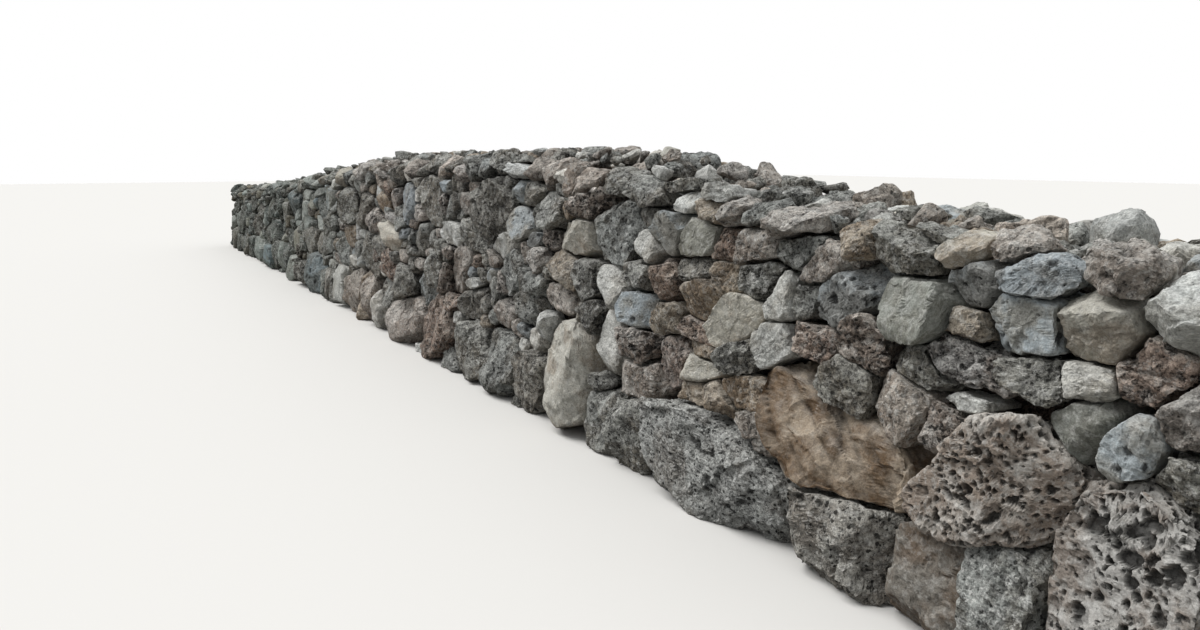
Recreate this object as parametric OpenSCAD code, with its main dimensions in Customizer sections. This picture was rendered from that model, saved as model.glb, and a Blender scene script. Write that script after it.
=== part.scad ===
// Dry stone field wall of rough limestone, built in bays.
// Each bay has a footing of boulders along both sides, a facing of rubble laid
// on them, a hearting of small stones packed between the two faces, and a top
// of loose stones laid right across. Both faces lean inwards as they rise.
// +X runs along the wall, the front face looks towards -Y and +Z is up. The
// origin is on the ground in the middle of the wall.

/* [Length] */
// Number of bays, counted from the +X end
bays = 6; // [1:1:6]
// Length of one bay
bay_l = 3000; // [2400:50:3600]

/* [Section] */
// Width over the footing boulders
foot_w = 1280; // [1160:10:1500]
// Lean of each face inwards, as a share of its height
lean = 0.08; // [0.04:0.005:0.11]
// Depth of the facing stones, from the plane of their joints to the hearting
facing_d = 310; // [220:10:330]

/* [Height] */
// Height of the wall at its +X end
crest_near = 1430; // [1250:10:1600]
// Height of the wall at its highest
crest_peak = 1740; // [1650:10:1900]
// Height of the wall at its -X end
crest_far = 1170; // [1100:10:1500]
// Distance from the +X end to the highest place
peak_d = 5500; // [3000:100:9000]
// How far the top line wanders up and down
crest_wander = 22; // [0:1:40]
// Lengths of the long and the short wave in which it wanders
crest_long_l = 1160; // [800:10:1600]
crest_short_l = 470; // [300:10:700]

/* [Footing] */
// Usual height of the footing boulders
footing_h = 470; // [400:10:540]
// How far the boldest boulders stand out from the plane of the joints
boulder_proud = 85; // [60:5:120]
// Open joint between neighbouring boulders
boulder_gap = 12; // [6:1:20]

/* [Facing] */
// Usual height of a rough course of facing stones
course_h = 250; // [200:10:320]
// Distance between the stations that joints can fall on, and a stone runs over
// two or three of them
station_gap = 125; // [100:5:160]
// How far the boldest facing stones stand out from their joints
stone_proud = 55; // [30:5:75]
// How far joints wander from a regular pattern, as a share of their spacing
joint_wander = 0.35; // [0:0.05:0.4]

/* [Top] */
// Thickness of the layer of top stones
top_h = 190; // [150:10:240]
// How far the boldest top stones stand up from their joints
top_proud = 60; // [30:5:80]

/* [Hidden] */
SIDES = ["front", "back"];
function node_name(b, part) = str("bay_", b, "_", part);

wall_l = bays * bay_l;
// Stations are spaced evenly along a bay, from -X to +X
steps = round(bay_l / station_gap);
pitch = bay_l / steps;
// Least and most stations along a facing or top stone, and along a back boulder
stone_run = [2, 3];
boulder_run = [5, 7];
// A stone's outer face is drawn in from its joints by this share of its half size
face_inset = 0.34;
// A stone's outer corners stand out by at least this share of the boldest
least_push = 0.35;
// How a line between courses strays, as shares of the joint wander
line_wave = 0.5;
line_jitter = 0.2;
// Distance in which a line between courses rises and falls once, and how far
// round its wave each next line starts
wave_l = 1100;
wave_turn = 137;
// Waves of the top line: [share of crest_wander, length, angle at the middle]
crest_waves = [[0.6, crest_long_l, 0], [0.4, crest_short_l, 50]];
// Front footing, bay by bay. At each joint: [distance from the bay's -X end as a
// share of the bay, height as a share of footing_h]
front_beds = [
    [[0, 1.10], [0.29, 0.92], [0.58, 1.00], [0.71, 1.55], [0.88, 1.72], [1, 1.40]],
    [[0, 1.00], [0.25, 1.22], [0.54, 1.42], [0.83, 1.30], [1, 1.10]],
    [[0, 0.95], [0.21, 1.20], [0.46, 1.00], [0.75, 1.15], [1, 1.00]],
    [[0, 0.90], [0.29, 0.85], [0.50, 1.10], [0.75, 1.00], [1, 0.95]],
    [[0, 0.85], [0.21, 1.00], [0.50, 0.90], [0.71, 1.05], [1, 0.90]],
    [[0, 0.80], [0.29, 0.90], [0.54, 0.80], [0.75, 0.95], [1, 0.85]],
];
// The back footing's height varies by up to this share
back_vary = 0.2;
// Outline of a boulder's outer face, as shares of its length and height
boulder_face = [[0.14, 0.16], [0.84, 0.20], [0.91, 0.58], [0.66, 0.87], [0.30, 0.84], [0.09, 0.50]];
// The boldest place on that face, and how far the outline stands out beside it
belly = [0.5, 0.42];
face_share = 0.7;
// Corners of that outline stray by up to this share
face_stray = 0.06;
// Boulders are set back from the boldest ones by up to this much
boulder_setback = 30;
// Lines of joints across the top, as shares of its half width
top_lines = [-0.38, 0.34];
// How far the two top edges lie below the joints in the middle
edge_drop = 40;
stone_grey = [0.60, 0.57, 0.53];
boulder_grey = [0.65, 0.61, 0.55];
hearting_brown = [0.47, 0.41, 0.36];
top_grey = [0.67, 0.64, 0.59];

// Seeds of chance, for each bay, side and use
JOINTS = 10;
BOULDERS = 20;
FACING = 100;
TOP = 200;
function seed_of(b, use, side = "front") = 1000 * b + use + (side == "front" ? 0 : 50);

// x of a station of a bay
function station_x(b, i) = wall_l / 2 - b * bay_l + i * pitch;

function sum(values) = values * [for (v = values) 1];

// Height of the wall at x: it rises smoothly from the +X end to its highest,
// falls smoothly to the -X end, and wanders a little on the way
function swell(share) = (1 - cos(180 * share)) / 2;
function crest_z(x) =
    let (d = wall_l / 2 - x)
    (d < peak_d
        ? crest_near + (crest_peak - crest_near) * swell(d / peak_d)
        : crest_peak + (crest_far - crest_peak) * swell((d - peak_d) / (wall_l - peak_d)))
    + crest_wander * sum([for (w = crest_waves) w[0] * sin(360 * x / w[1] + w[2])]);

// Height of the bed that the top stones lie on
function top_bed_z(x) = crest_z(x) - top_h;

// Half the width of the wall at height z, in the plane of the joints, and the
// distance from the middle to the back of the facing there
function half_w(z) = foot_w / 2 - boulder_proud - lean * z;
function core_w(z) = half_w(z) - facing_d;

// Joints along a bay: runs of stations between the least and the most long,
// with none shorter than the least before the bay's end
function walk(at, least, runs, k = 0) =
    at >= steps ? [steps] :
    let (next = at + runs[k])
    concat([at], walk(steps - next < least ? steps : next, least, runs, k + 1));
function joint_stations(run, seed) =
    walk(0, run[0], [for (r = rands(run[0], run[1] + 0.999, steps, seed)) floor(r)]);

// Joints of a bay's footing as [station, bed height]
function footing_joints(b, side) =
    let (seed = seed_of(b, JOINTS, side),
         at = joint_stations(boulder_run, seed),
         vary = rands(1 - back_vary, 1 + back_vary, len(at), seed + 1))
    side == "front"
        ? [for (j = front_beds[b - 1]) [round(j[0] * steps), j[1] * footing_h]]
        : [for (k = [0:len(at) - 1]) [at[k], vary[k] * footing_h]];

// Number of rough courses in a bay's facing
function facing_rows(b) =
    max(2, round((top_bed_z(station_x(b, steps / 2)) - footing_h) / course_h));

// How far a line between courses strays at x, as a share of their spacing
function stray(x, line, chance) =
    joint_wander * (line_wave * sin(360 * x / wave_l + wave_turn * line) + line_jitter * chance);

// Triangles down one side of a stone, from its joint corners to the nearest two
// corners of its outer face
function side_faces(chain, near, far) =
    let (m = len(chain) - 1, turn = ceil(m / 2))
    concat(
        [for (e = [0:m - 1]) [chain[e + 1], chain[e], e < turn ? near : far]],
        [[chain[turn], near, far]]);

// Points as one solid with no hollow
module hull_of(points) {
    hull() polyhedron(points, [[for (i = [0:len(points) - 1]) i]]);
}

// A solid along a bay whose section is a loop of lines, each with a point at
// every station. Between the first lines, one row for each direction in out, it
// is a sheet of stones with joints at the lines. Each stone's outer face stands
// out in its row's direction by up to proud. The other sides are plain.
module stone_sheet(lines, out, proud, seed) {
    n = steps + 1;
    rows = len(out);
    loop = len(lines);
    at = function(j, i) (j % loop) * n + i;
    joints = [for (j = [0:rows - 1]) joint_stations(stone_run, seed + j)];
    // Row, first station and last station of each stone
    stones = [for (j = [0:rows - 1]) for (k = [0:len(joints[j]) - 2])
        [j, joints[j][k], joints[j][k + 1]]];
    push = rands(least_push, 1, 4 * len(stones), seed + rows);
    face_points = [for (s = [0:len(stones) - 1])
        let (j = stones[s][0], a = stones[s][1], b = stones[s][2],
             ring = [lines[j][a], lines[j][b], lines[j + 1][b], lines[j + 1][a]],
             middle = (ring[0] + ring[1] + ring[2] + ring[3]) / 4)
        for (c = [0:3])
            ring[c] + face_inset * (middle - ring[c]) + out[j] * proud * push[4 * s + c]];
    stone_faces = [for (s = [0:len(stones) - 1])
        let (j = stones[s][0], a = stones[s][1], b = stones[s][2], q = loop * n + 4 * s)
        each concat(
            side_faces([for (i = [a:b]) at(j, i)], q, q + 1),
            side_faces([at(j, b), at(j + 1, b)], q + 1, q + 2),
            side_faces([for (i = [b:-1:a]) at(j + 1, i)], q + 2, q + 3),
            side_faces([at(j + 1, a), at(j, a)], q + 3, q),
            [[q + 2, q + 1, q], [q + 3, q + 2, q]])];
    plain_faces = [for (j = [rows:loop - 1]) for (i = [0:steps - 1]) each [
        [at(j, i + 1), at(j, i), at(j + 1, i)],
        [at(j, i + 1), at(j + 1, i), at(j + 1, i + 1)]]];
    end_faces = [for (j = [0:loop - 3]) each [
        [at(j + 1, 0), at(j, 0), at(loop - 1, 0)],
        [at(j, steps), at(j + 1, steps), at(loop - 1, steps)]]];
    polyhedron(
        points = concat([for (line = lines) each line], face_points),
        faces = concat(stone_faces, plain_faces, end_faces),
        convexity = 10);
}

// One footing boulder between two joints [station, bed height], which lies
// between the ground, the bed of the facing and the hearting
module boulder(b, from, to, setback, seed) {
    xa = station_x(b, from[0]) + (from[0] > 0 ? boulder_gap / 2 : 0);
    xb = station_x(b, to[0]) - (to[0] < steps ? boulder_gap / 2 : 0);
    bed = function(x)
        lookup(x, [[station_x(b, from[0]), from[1]], [station_x(b, to[0]), to[1]]]);
    on_face = function(share, proud)
        let (x = xa + share[0] * (xb - xa), z = share[1] * bed(x)) [x, -half_w(z) - proud, z];
    astray = rands(-face_stray, face_stray, 2 * len(boulder_face), seed);
    boldest = on_face(belly, 0);
    hull_of(concat(
        [for (x = [xa, xb]) for (z = [0, bed(x)]) for (depth = [0, facing_d])
            [x, depth - half_w(z), z]],
        [for (k = [0:len(boulder_face) - 1])
            on_face(boulder_face[k] + [astray[2 * k], astray[2 * k + 1]],
                face_share * (boulder_proud - setback))],
        [[boldest.x, setback - foot_w / 2, boldest.z]]));
}

// Footing of one side of a bay, whose second boulder is the boldest
module footing(b, side) {
    joints = footing_joints(b, side);
    seed = seed_of(b, BOULDERS, side);
    setback = rands(0, boulder_setback, len(joints), seed);
    color(boulder_grey)
        mirror([0, side == "front" ? 0 : 1, 0])
            for (k = [0:len(joints) - 2])
                boulder(b, joints[k], joints[k + 1], k == 1 ? 0 : setback[k], seed + 1 + k);
}

// Rubble facing of one side of a bay, from its footing to the top stones
module facing(b, side) {
    rows = facing_rows(b);
    joints = footing_joints(b, side);
    seed = seed_of(b, FACING, side);
    chance = rands(-1, 1, 2 * (rows + 1) * (steps + 1), seed - 1);
    corner = function(j, i)
        let (x = station_x(b, i),
             low = lookup(i, joints),
             rise = (top_bed_z(x) - low) / rows,
             inside = j > 0 && j < rows,
             k = 2 * (j * (steps + 1) + i),
             z = low + rise * (j + (inside ? stray(x, j, chance[k]) : 0)))
        [x + (inside && i > 0 && i < steps ? joint_wander * pitch * chance[k + 1] : 0), -half_w(z), z];
    lines = [for (j = [0:rows]) [for (i = [0:steps]) corner(j, i)]];
    behind = function(j) [for (p = lines[j]) p + [0, facing_d, 0]];
    color(stone_grey)
        mirror([0, side == "front" ? 0 : 1, 0])
            stone_sheet(concat(lines, [behind(rows), behind(0)]),
                [for (j = [1:rows]) [0, -1, 0]], stone_proud, seed);
}

// Small stones between the two faces of a bay, up to the bed of the top stones
module hearting(b) {
    n = steps + 1;
    top = [for (i = [0:steps]) let (x = station_x(b, i)) [x, core_w(top_bed_z(x)), top_bed_z(x)]];
    foot = [for (i = [0, steps]) [station_x(b, i), core_w(0), 0]];
    front = function(p) [p.x, -p.y, p.z];
    color(hearting_brown)
        polyhedron(
            points = concat(
                [for (p = top) front(p)], top, [for (p = foot) front(p)], foot),
            faces = concat(
                [[2 * n, 2 * n + 1, 2 * n + 3, 2 * n + 2]],
                [concat([2 * n + 1, 2 * n], [for (i = [0:steps]) i])],
                [concat([2 * n + 2, 2 * n + 3], [for (i = [steps:-1:0]) n + i])],
                [[2 * n, 2 * n + 2, n, 0], [2 * n + 3, 2 * n + 1, steps, n + steps]],
                [for (i = [0:steps - 1]) [i, n + i, n + i + 1, i + 1]]),
            convexity = 4);
}

// Loose stones laid across a bay, from its front edge to its back edge
module top_stones(b) {
    seed = seed_of(b, TOP);
    chance = rands(-1, 1, 2 * len(top_lines) * (steps + 1), seed - 1);
    // Point of an edge: low on the bed, or high beside the top joints
    edge = function(i, side, high)
        let (x = station_x(b, i), z = high ? crest_z(x) - top_proud - edge_drop : top_bed_z(x))
        [x, side * half_w(z), z];
    inner = function(i, k)
        let (x = station_x(b, i), z = crest_z(x) - top_proud, c = 2 * (k * (steps + 1) + i),
             span = 2 * half_w(z) / 3,
             free = i > 0 && i < steps)
        [x + (free ? joint_wander * pitch * chance[c] : 0),
         top_lines[k] * half_w(z) + span * stray(x, k + b, chance[c + 1]), z];
    color(top_grey)
        stone_sheet(
            [for (i = [0:5]) [for (s = [0:steps])
                i == 0 ? edge(s, -1, false) : i == 1 ? edge(s, -1, true) :
                i == 4 ? edge(s, 1, true) : i == 5 ? edge(s, 1, false) : inner(s, i - 2)]],
            [[0, -1, 0], [0, 0, 1], [0, 0, 1], [0, 0, 1], [0, 1, 0]], top_proud, seed);
}

for (b = [1:bays]) {
    for (side = SIDES) {
        footing(b, side);
        facing(b, side);
    }
    hearting(b);
    top_stones(b);
}
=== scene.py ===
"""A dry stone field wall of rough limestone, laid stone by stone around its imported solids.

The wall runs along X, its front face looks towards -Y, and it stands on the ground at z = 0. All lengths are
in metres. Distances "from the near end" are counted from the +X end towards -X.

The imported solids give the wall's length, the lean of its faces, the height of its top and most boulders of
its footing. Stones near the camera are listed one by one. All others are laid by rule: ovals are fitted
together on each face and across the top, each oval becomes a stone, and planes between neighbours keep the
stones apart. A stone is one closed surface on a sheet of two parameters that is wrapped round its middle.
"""

from __future__ import annotations

import logging
import math
from collections.abc import Callable, Sequence
from dataclasses import dataclass, field
from enum import Enum, IntEnum

import bpy
import numpy as np
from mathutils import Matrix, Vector

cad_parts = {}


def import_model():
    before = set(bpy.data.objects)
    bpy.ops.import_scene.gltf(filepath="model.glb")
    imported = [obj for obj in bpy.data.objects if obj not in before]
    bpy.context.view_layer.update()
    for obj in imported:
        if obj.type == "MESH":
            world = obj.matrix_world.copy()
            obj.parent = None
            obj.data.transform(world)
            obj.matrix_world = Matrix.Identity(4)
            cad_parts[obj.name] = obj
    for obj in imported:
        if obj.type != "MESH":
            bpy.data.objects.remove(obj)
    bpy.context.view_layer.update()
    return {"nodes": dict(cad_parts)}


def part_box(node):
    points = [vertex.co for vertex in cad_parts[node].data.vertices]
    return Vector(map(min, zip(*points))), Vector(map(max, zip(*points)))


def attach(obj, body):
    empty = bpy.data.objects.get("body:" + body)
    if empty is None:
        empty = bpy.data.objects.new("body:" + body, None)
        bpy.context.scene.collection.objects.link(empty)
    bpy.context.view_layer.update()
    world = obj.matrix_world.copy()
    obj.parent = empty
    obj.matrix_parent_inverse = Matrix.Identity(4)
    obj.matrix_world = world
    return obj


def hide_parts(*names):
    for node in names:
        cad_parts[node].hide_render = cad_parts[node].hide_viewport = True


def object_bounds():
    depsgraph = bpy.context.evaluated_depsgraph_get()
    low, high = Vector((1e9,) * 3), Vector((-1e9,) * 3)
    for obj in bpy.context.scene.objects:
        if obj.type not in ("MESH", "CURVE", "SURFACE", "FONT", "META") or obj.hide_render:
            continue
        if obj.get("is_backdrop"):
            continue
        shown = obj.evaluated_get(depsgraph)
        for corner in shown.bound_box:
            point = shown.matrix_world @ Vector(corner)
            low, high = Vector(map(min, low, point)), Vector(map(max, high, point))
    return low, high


LOG = logging.getLogger("wall")

Span = tuple[float, float]  # Two numbers, mostly the least and the most of something
Array = np.ndarray
Chance = np.random.Generator
Socket = bpy.types.NodeSocket
Tree = bpy.types.NodeTree
Curve = tuple[tuple[float, ...], tuple[float, ...]]  # Places, and the values there

MM = 0.001
X_AXIS = np.array([1.0, 0.0, 0.0])
Y_AXIS = np.array([0.0, 1.0, 0.0])
UP = np.array([0.0, 0.0, 1.0])
NOWHERE = 10.0  # A height or distance beyond every stone


class Side(IntEnum):
    """The two faces of the wall, with the sign of their y."""

    FRONT = -1
    BACK = 1


def unit(direction: Sequence[float]) -> Array:
    """The same direction with a length of 1."""
    return np.array(Vector(direction).normalized())


# Chance and noise


def cell_chance(cells: Array, seed: int) -> Array:
    """Gives each whole-number cell its own chance from 0 to 1.

    The three coordinates are multiplied by large odd numbers and their bits are folded together.

    Args:
        cells: Whole numbers, with three along the last axis.
        seed: Chooses another set of chances.

    Returns:
        One number from 0 to 1 for each cell.
    """
    mixed = cells[..., 0] * 73856093 ^ cells[..., 1] * 19349663 ^ cells[..., 2] * 83492791 ^ seed * 2654435761
    mixed &= 0xFFFFFFFF
    mixed = (mixed ^ (mixed >> 13)) * 1274126177 & 0xFFFFFFFF
    mixed ^= mixed >> 16
    return mixed / 2.0**32


def cell_chances(cells: Array, seed: int) -> Array:
    """Three chances from 0 to 1 for each whole-number cell."""
    return np.stack([cell_chance(cells, seed + k) for k in range(3)], axis=-1)


def smooth_noise(points: Array, size: float, seed: int) -> Array:
    """Noise from -1 to 1 that changes over about one size.

    The eight corners of a point's cell have chances of their own, blended by 3 t^2 - 2 t^3 along each axis.

    Args:
        points: Places, with three coordinates along the last axis.
        size: Width of a cell.
        seed: Chooses another pattern.

    Returns:
        One number for each place.
    """
    scaled = points / size
    cell = np.floor(scaled).astype(np.int64)
    part = scaled - cell
    part = part * part * (3 - 2 * part)
    total = np.zeros(points.shape[:-1])
    for corner in np.ndindex(2, 2, 2):
        weight = np.prod(np.where(corner, part, 1 - part), axis=-1)
        total += weight * cell_chance(cell + np.array(corner), seed)
    return 2 * total - 1


def smooth_noises(points: Array, size: float, seed: int) -> Array:
    """Three smooth noises for each place, which shift it a little when they are added to it."""
    return np.stack([smooth_noise(points, size, seed + k) for k in range(3)], -1)


def pits(points: Array, size: float, share: float, seed: int) -> Array:
    """Depth from 0 to 1 of round-bottomed holes strewn at random.

    Each cell has one hole, at a random place and of a random width, or none. The depth is
    1 - (distance / radius)^2 in the hole that the place lies deepest in.

    Args:
        points: Places, with three coordinates along the last axis.
        size: Width of a cell, about twice the widest hole's radius.
        share: Share of the cells that have a hole.
        seed: Chooses another pattern.

    Returns:
        One depth for each place.
    """
    narrowest, wider, none = 0.25, 0.45, 1e-3
    scaled = points / size
    cell = np.floor(scaled).astype(np.int64)
    depth = np.zeros(points.shape[:-1])
    for step in np.ndindex(3, 3, 3):
        near = cell + np.array(step) - 1
        middle = near + cell_chances(near, seed)
        radius = narrowest + wider * cell_chance(near, seed + 3)
        radius = np.where(cell_chance(near, seed + 4) < share, radius, none)
        gap = np.linalg.norm(scaled - middle, axis=-1) / radius
        depth = np.maximum(depth, 1 - gap * gap)
    return depth


def chips(points: Array, size: float, seed: int) -> Array:
    """Height of a surface that is broken into flat chips, from about -1 to 1.

    Each cell has a middle m and a slope g of its own. A place x takes them from the nearest middle, and its
    height is g.(x - m), so that chips meet in small steps.

    Args:
        points: Places, with three coordinates along the last axis.
        size: Width of a chip.
        seed: Chooses another pattern.

    Returns:
        One height for each place.
    """
    scaled = points / size
    cell = np.floor(scaled).astype(np.int64)
    nearest = np.full(points.shape[:-1], np.inf)
    height = np.zeros(points.shape[:-1])
    for step in np.ndindex(3, 3, 3):
        near = cell + np.array(step) - 1
        away = scaled - near - cell_chances(near, seed)
        slope = 2 * cell_chances(near, seed + 3) - 1
        gap = (away * away).sum(-1)
        closer = gap < nearest
        nearest = np.where(closer, gap, nearest)
        height = np.where(closer, (away * slope).sum(-1), height)
    return height


# Kinds of stone


@dataclass(frozen=True)
class Limestone:
    """Colours and surface of one kind of limestone."""

    base: str  # Main colour, as sRGB hex
    stain: str  # Colour of the parts that soil or weather has stained, as sRGB hex
    stained: float = 0.3  # Share of the surface that is stained
    pitted: float = 0.5  # Strength of the small pits, 0 to 1
    combed: float = 0.0  # Strength of the wide holes of a honeycombed stone, 0 to 1
    # How sharp the edges between the stone's faces are. 10 is well rounded and 30 is freshly broken.
    sharp: float = 36.0
    streaked: float = 0.0  # Strength of the slanting grooves, 0 to 1
    crusted: float = 0.5  # Strength of the pale lichen on it, 0 to 1
    rough: float = 0.8  # How rough its surface is. 0 is a clean break and 1 is weathered coral rock.


class Kind(Enum):
    """Kinds of limestone in the wall."""

    GREY = Limestone("#a7a8a2", "#8b877d", 0.30, 0.7, rough=0.9)
    PALE = Limestone("#d0d0ca", "#b4b1a8", 0.25, 0.35, crusted=0.4, rough=0.5)
    BLUE = Limestone("#aab1b3", "#9c9a92", 0.30, 0.5, 0.1, crusted=0.2, rough=0.35)
    SLATE = Limestone("#9ea4a6", "#8c8d8a", 0.30, 0.6, 0.3, crusted=0.2, rough=0.5)
    CREAM = Limestone("#bab6aa", "#a89e8f", 0.25, 0.3, sharp=44, crusted=0.3, rough=0.3)
    TAN = Limestone("#b3a796", "#968673", 0.35, 0.5, crusted=0.3, rough=0.7)
    RUST = Limestone("#c2b2a4", "#a48f80", 0.40, 0.9, crusted=0.3, rough=1.0)
    DARK = Limestone("#a2a19a", "#87837a", 0.35, 0.6, rough=1.0)
    PINK = Limestone("#bcb5ac", "#9e9388", 0.30, 0.6, crusted=0.4, rough=0.7)
    OLIVE = Limestone("#8f9088", "#7d7c72", 0.25, 0.15, sharp=44, crusted=0.25, rough=0.3)
    WORN = Limestone("#75716a", "#6d6155", 0.40, 0.4, sharp=32, crusted=0.2, rough=0.25)
    POROUS = Limestone("#ccc4bb", "#a89a8e", 0.40, 1.0, 0.35, crusted=0.4, rough=1.0)
    CORAL = Limestone("#b6b5af", "#9a958d", 0.30, 1.0, 0.15, 36, rough=0.8)
    COMB = Limestone("#b4afa8", "#968a7f", 0.35, 0.8, 1.0, 36, crusted=0.3, rough=0.2)
    STREAKED = Limestone("#ab9984", "#776049", 0.35, 0.1, 0.0, 60, 1.0, 0.10, 0.25)


GREY, PALE, BLUE, SLATE, CREAM, TAN, RUST, DARK, PINK, OLIVE, WORN, POROUS, CORAL, COMB, STREAKED = Kind

# Shares of the kinds among the stones that aren't listed one by one
FACE_MIX = {GREY: 0.42, PINK: 0.17, DARK: 0.13, PALE: 0.11, POROUS: 0.06, SLATE: 0.03, BLUE: 0.02}
FACE_MIX |= {TAN: 0.04, CREAM: 0.02, RUST: 0.02}
TOP_MIX = {GREY: 0.46, PALE: 0.16, PINK: 0.20, DARK: 0.08, CREAM: 0.05, TAN: 0.05}


def pick_kind(mix: dict[Kind, float], chance: Chance) -> Kind:
    """Draws one kind.

    Args:
        mix: The kinds and the shares in which they are drawn.
        chance: The source of chance.

    Returns:
        The kind.
    """
    kinds = list(mix)
    shares = np.array(list(mix.values()))
    return kinds[int(chance.choice(len(kinds), p=shares / shares.sum()))]


@dataclass
class Stone:
    """One stone as laid: an oval body whose neighbours shape it."""

    node: str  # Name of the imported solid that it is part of
    middle: Array  # Its middle
    axes: Array  # Its three axes, as columns
    half: Array  # Half its size along each axis
    outward: Array  # The way in which it is seen
    kind: Kind  # What it is made of
    full: float = 1.16  # How far it fills out beyond its oval where no neighbour stops it
    fine: float = 1.0  # Its surface is this many times finer than others at its distance
    block: float = 1.85  # How boxlike it is. 2 is an oval and 1 a box.
    crest: float = NOWHERE  # Height of the sloping plane that cuts its top

    @property
    def body(self) -> Array:
        """The matrix of its oval body, whose eigenvalues are the squares of its half axes."""
        return (self.axes * self.half**2) @ self.axes.T


# Form of the wall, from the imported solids


@dataclass
class WallForm:
    """The wall's form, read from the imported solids."""

    lean: float  # How far a face leans inwards for each metre of height
    foot: float  # Half the width of the wall on the ground, in the plane of the joints
    stations: Array  # Places along X at which the heights are known
    beds: Array  # Height of the bed of the top stones at each station
    tops: Array  # Height of the top at each station
    low: Array  # Lowest corner of the whole wall
    high: Array  # Highest corner of the whole wall
    bay_edges: list[float]  # Places along X of the ends of the bays, from +X to -X
    # How far the top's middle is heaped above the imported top, at distances from the near end
    heaped: Curve = (
        (0.0, 2.3, 2.7, 3.1, 3.6, 4.4, 5.6, 7.5, 12.0, 16.0),
        (-0.04, -0.03, -0.03, 0.02, 0.06, 0.07, 0.0, 0.04, 0.05, 0.0),
    )
    ridge: float = 0.08  # How far the heap's highest line lies behind the wall's middle
    heap: float = 0.55  # Half the width of the heap
    brink: float = 0.05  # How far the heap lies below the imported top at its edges

    @classmethod
    def from_frame(cls, nodes: dict[str, bpy.types.Object]) -> WallForm:
        """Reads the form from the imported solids.

        Args:
            nodes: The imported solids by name.

        Returns:
            The wall's form.
        """

        def points_of(part: str) -> Array:
            """The points of all the solids whose names end with a part's name."""
            pieces = (piece for name, piece in nodes.items() if name.endswith(part))
            return np.concatenate([mesh_points(piece) for piece in pieces])

        low, high = (np.array(corner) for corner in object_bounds())
        hearting, facing, top = (points_of(part) for part in ("hearting", "facing", "top_stones"))
        grounded = hearting[:, 2] < MM
        core = np.abs(hearting[grounded, 1]).max()
        raised = hearting[~grounded]
        lean = float(np.mean((core - np.abs(raised[:, 1])) / raised[:, 2]))
        ends = facing[np.abs(facing[:, 0]) > high[0] - MM]
        foot = float((np.abs(ends[:, 1]) + lean * ends[:, 2]).max())
        on_face = top[np.abs(np.abs(top[:, 1]) + lean * top[:, 2] - foot) < MM]
        stations, index = np.unique(np.round(on_face[:, 0], 3), return_inverse=True)
        beds = np.full(len(stations), np.inf)
        edges = np.full(len(stations), -np.inf)
        np.minimum.at(beds, index, on_face[:, 2])
        np.maximum.at(edges, index, on_face[:, 2])
        tops = edges + high[2] - edges.max()
        bays = sum(name.endswith("hearting") for name in nodes)
        bay_edges = [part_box(f"bay_{bay}_hearting")[1].x for bay in range(1, bays + 1)] + [low[0]]
        return cls(lean, foot, stations, beds, tops, low, high, bay_edges)

    def bed(self, x: Array | float) -> Array:
        """Height of the bed of the top stones at x."""
        return np.interp(x, self.stations, self.beds)

    def top(self, x: Array | float) -> Array:
        """Height of the wall at x."""
        return np.interp(x, self.stations, self.tops)

    def crown(self, x: Array | float, y: Array | float) -> Array:
        """Height of the heap of loose stones on the top, which is lower towards its edges.

        Args:
            x: Places along the wall.
            y: Places across it.

        Returns:
            The height at each place.
        """
        rounded = 1 - np.minimum(1.0, np.abs(np.asarray(y) - self.ridge) / self.heap) ** 2
        heaped = np.interp(self.high[0] - x, *self.heaped) * rounded
        return self.top(x) + heaped - self.brink * (1 - rounded)

    def half_width(self, z: Array | float) -> Array:
        """Half the width of the wall at height z, in the plane of the joints."""
        return self.foot - self.lean * np.asarray(z)

    def bay(self, x: float) -> int:
        """Number of the bay in which x lies."""
        return min(max(sum(x < edge for edge in self.bay_edges), 1), len(self.bay_edges) - 1)

    def top_node(self, x: float) -> str:
        """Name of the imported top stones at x."""
        return f"bay_{self.bay(x)}_top_stones"

    def face_axes(self, side: Side) -> tuple[Array, Array]:
        """The way up along a face and the way out of it."""
        size = math.hypot(1, self.lean)
        return np.array([0, -side * self.lean, 1]) / size, np.array([0, side, self.lean]) / size


def mesh_points(piece: bpy.types.Object) -> Array:
    """The points of a mesh as rows."""
    points = np.empty(len(piece.data.vertices) * 3)
    piece.data.vertices.foreach_get("co", points)
    return points.reshape(-1, 3)


def solids_along(piece: bpy.types.Object) -> list[Array]:
    """Splits a mesh into solids that lie one after another along X.

    Triangles are sorted by where they begin. A new solid begins where a triangle begins beyond all before it.

    Args:
        piece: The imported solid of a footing.

    Returns:
        The points of each solid.
    """
    piece.data.calc_loop_triangles()
    index = np.empty(len(piece.data.loop_triangles) * 3, dtype=np.int64)
    piece.data.loop_triangles.foreach_get("vertices", index)
    corners = mesh_points(piece)[index].reshape(-1, 3, 3)
    corners = corners[np.argsort(corners[:, :, 0].min(1))]
    begin = corners[:, :, 0].min(1)
    reached = np.maximum.accumulate(corners[:, :, 0].max(1))
    cuts = np.nonzero(begin[1:] > reached[:-1] + MM)[0] + 1
    return [part.reshape(-1, 3) for part in np.split(corners, cuts)]


# Laying ovals on a plane


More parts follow.
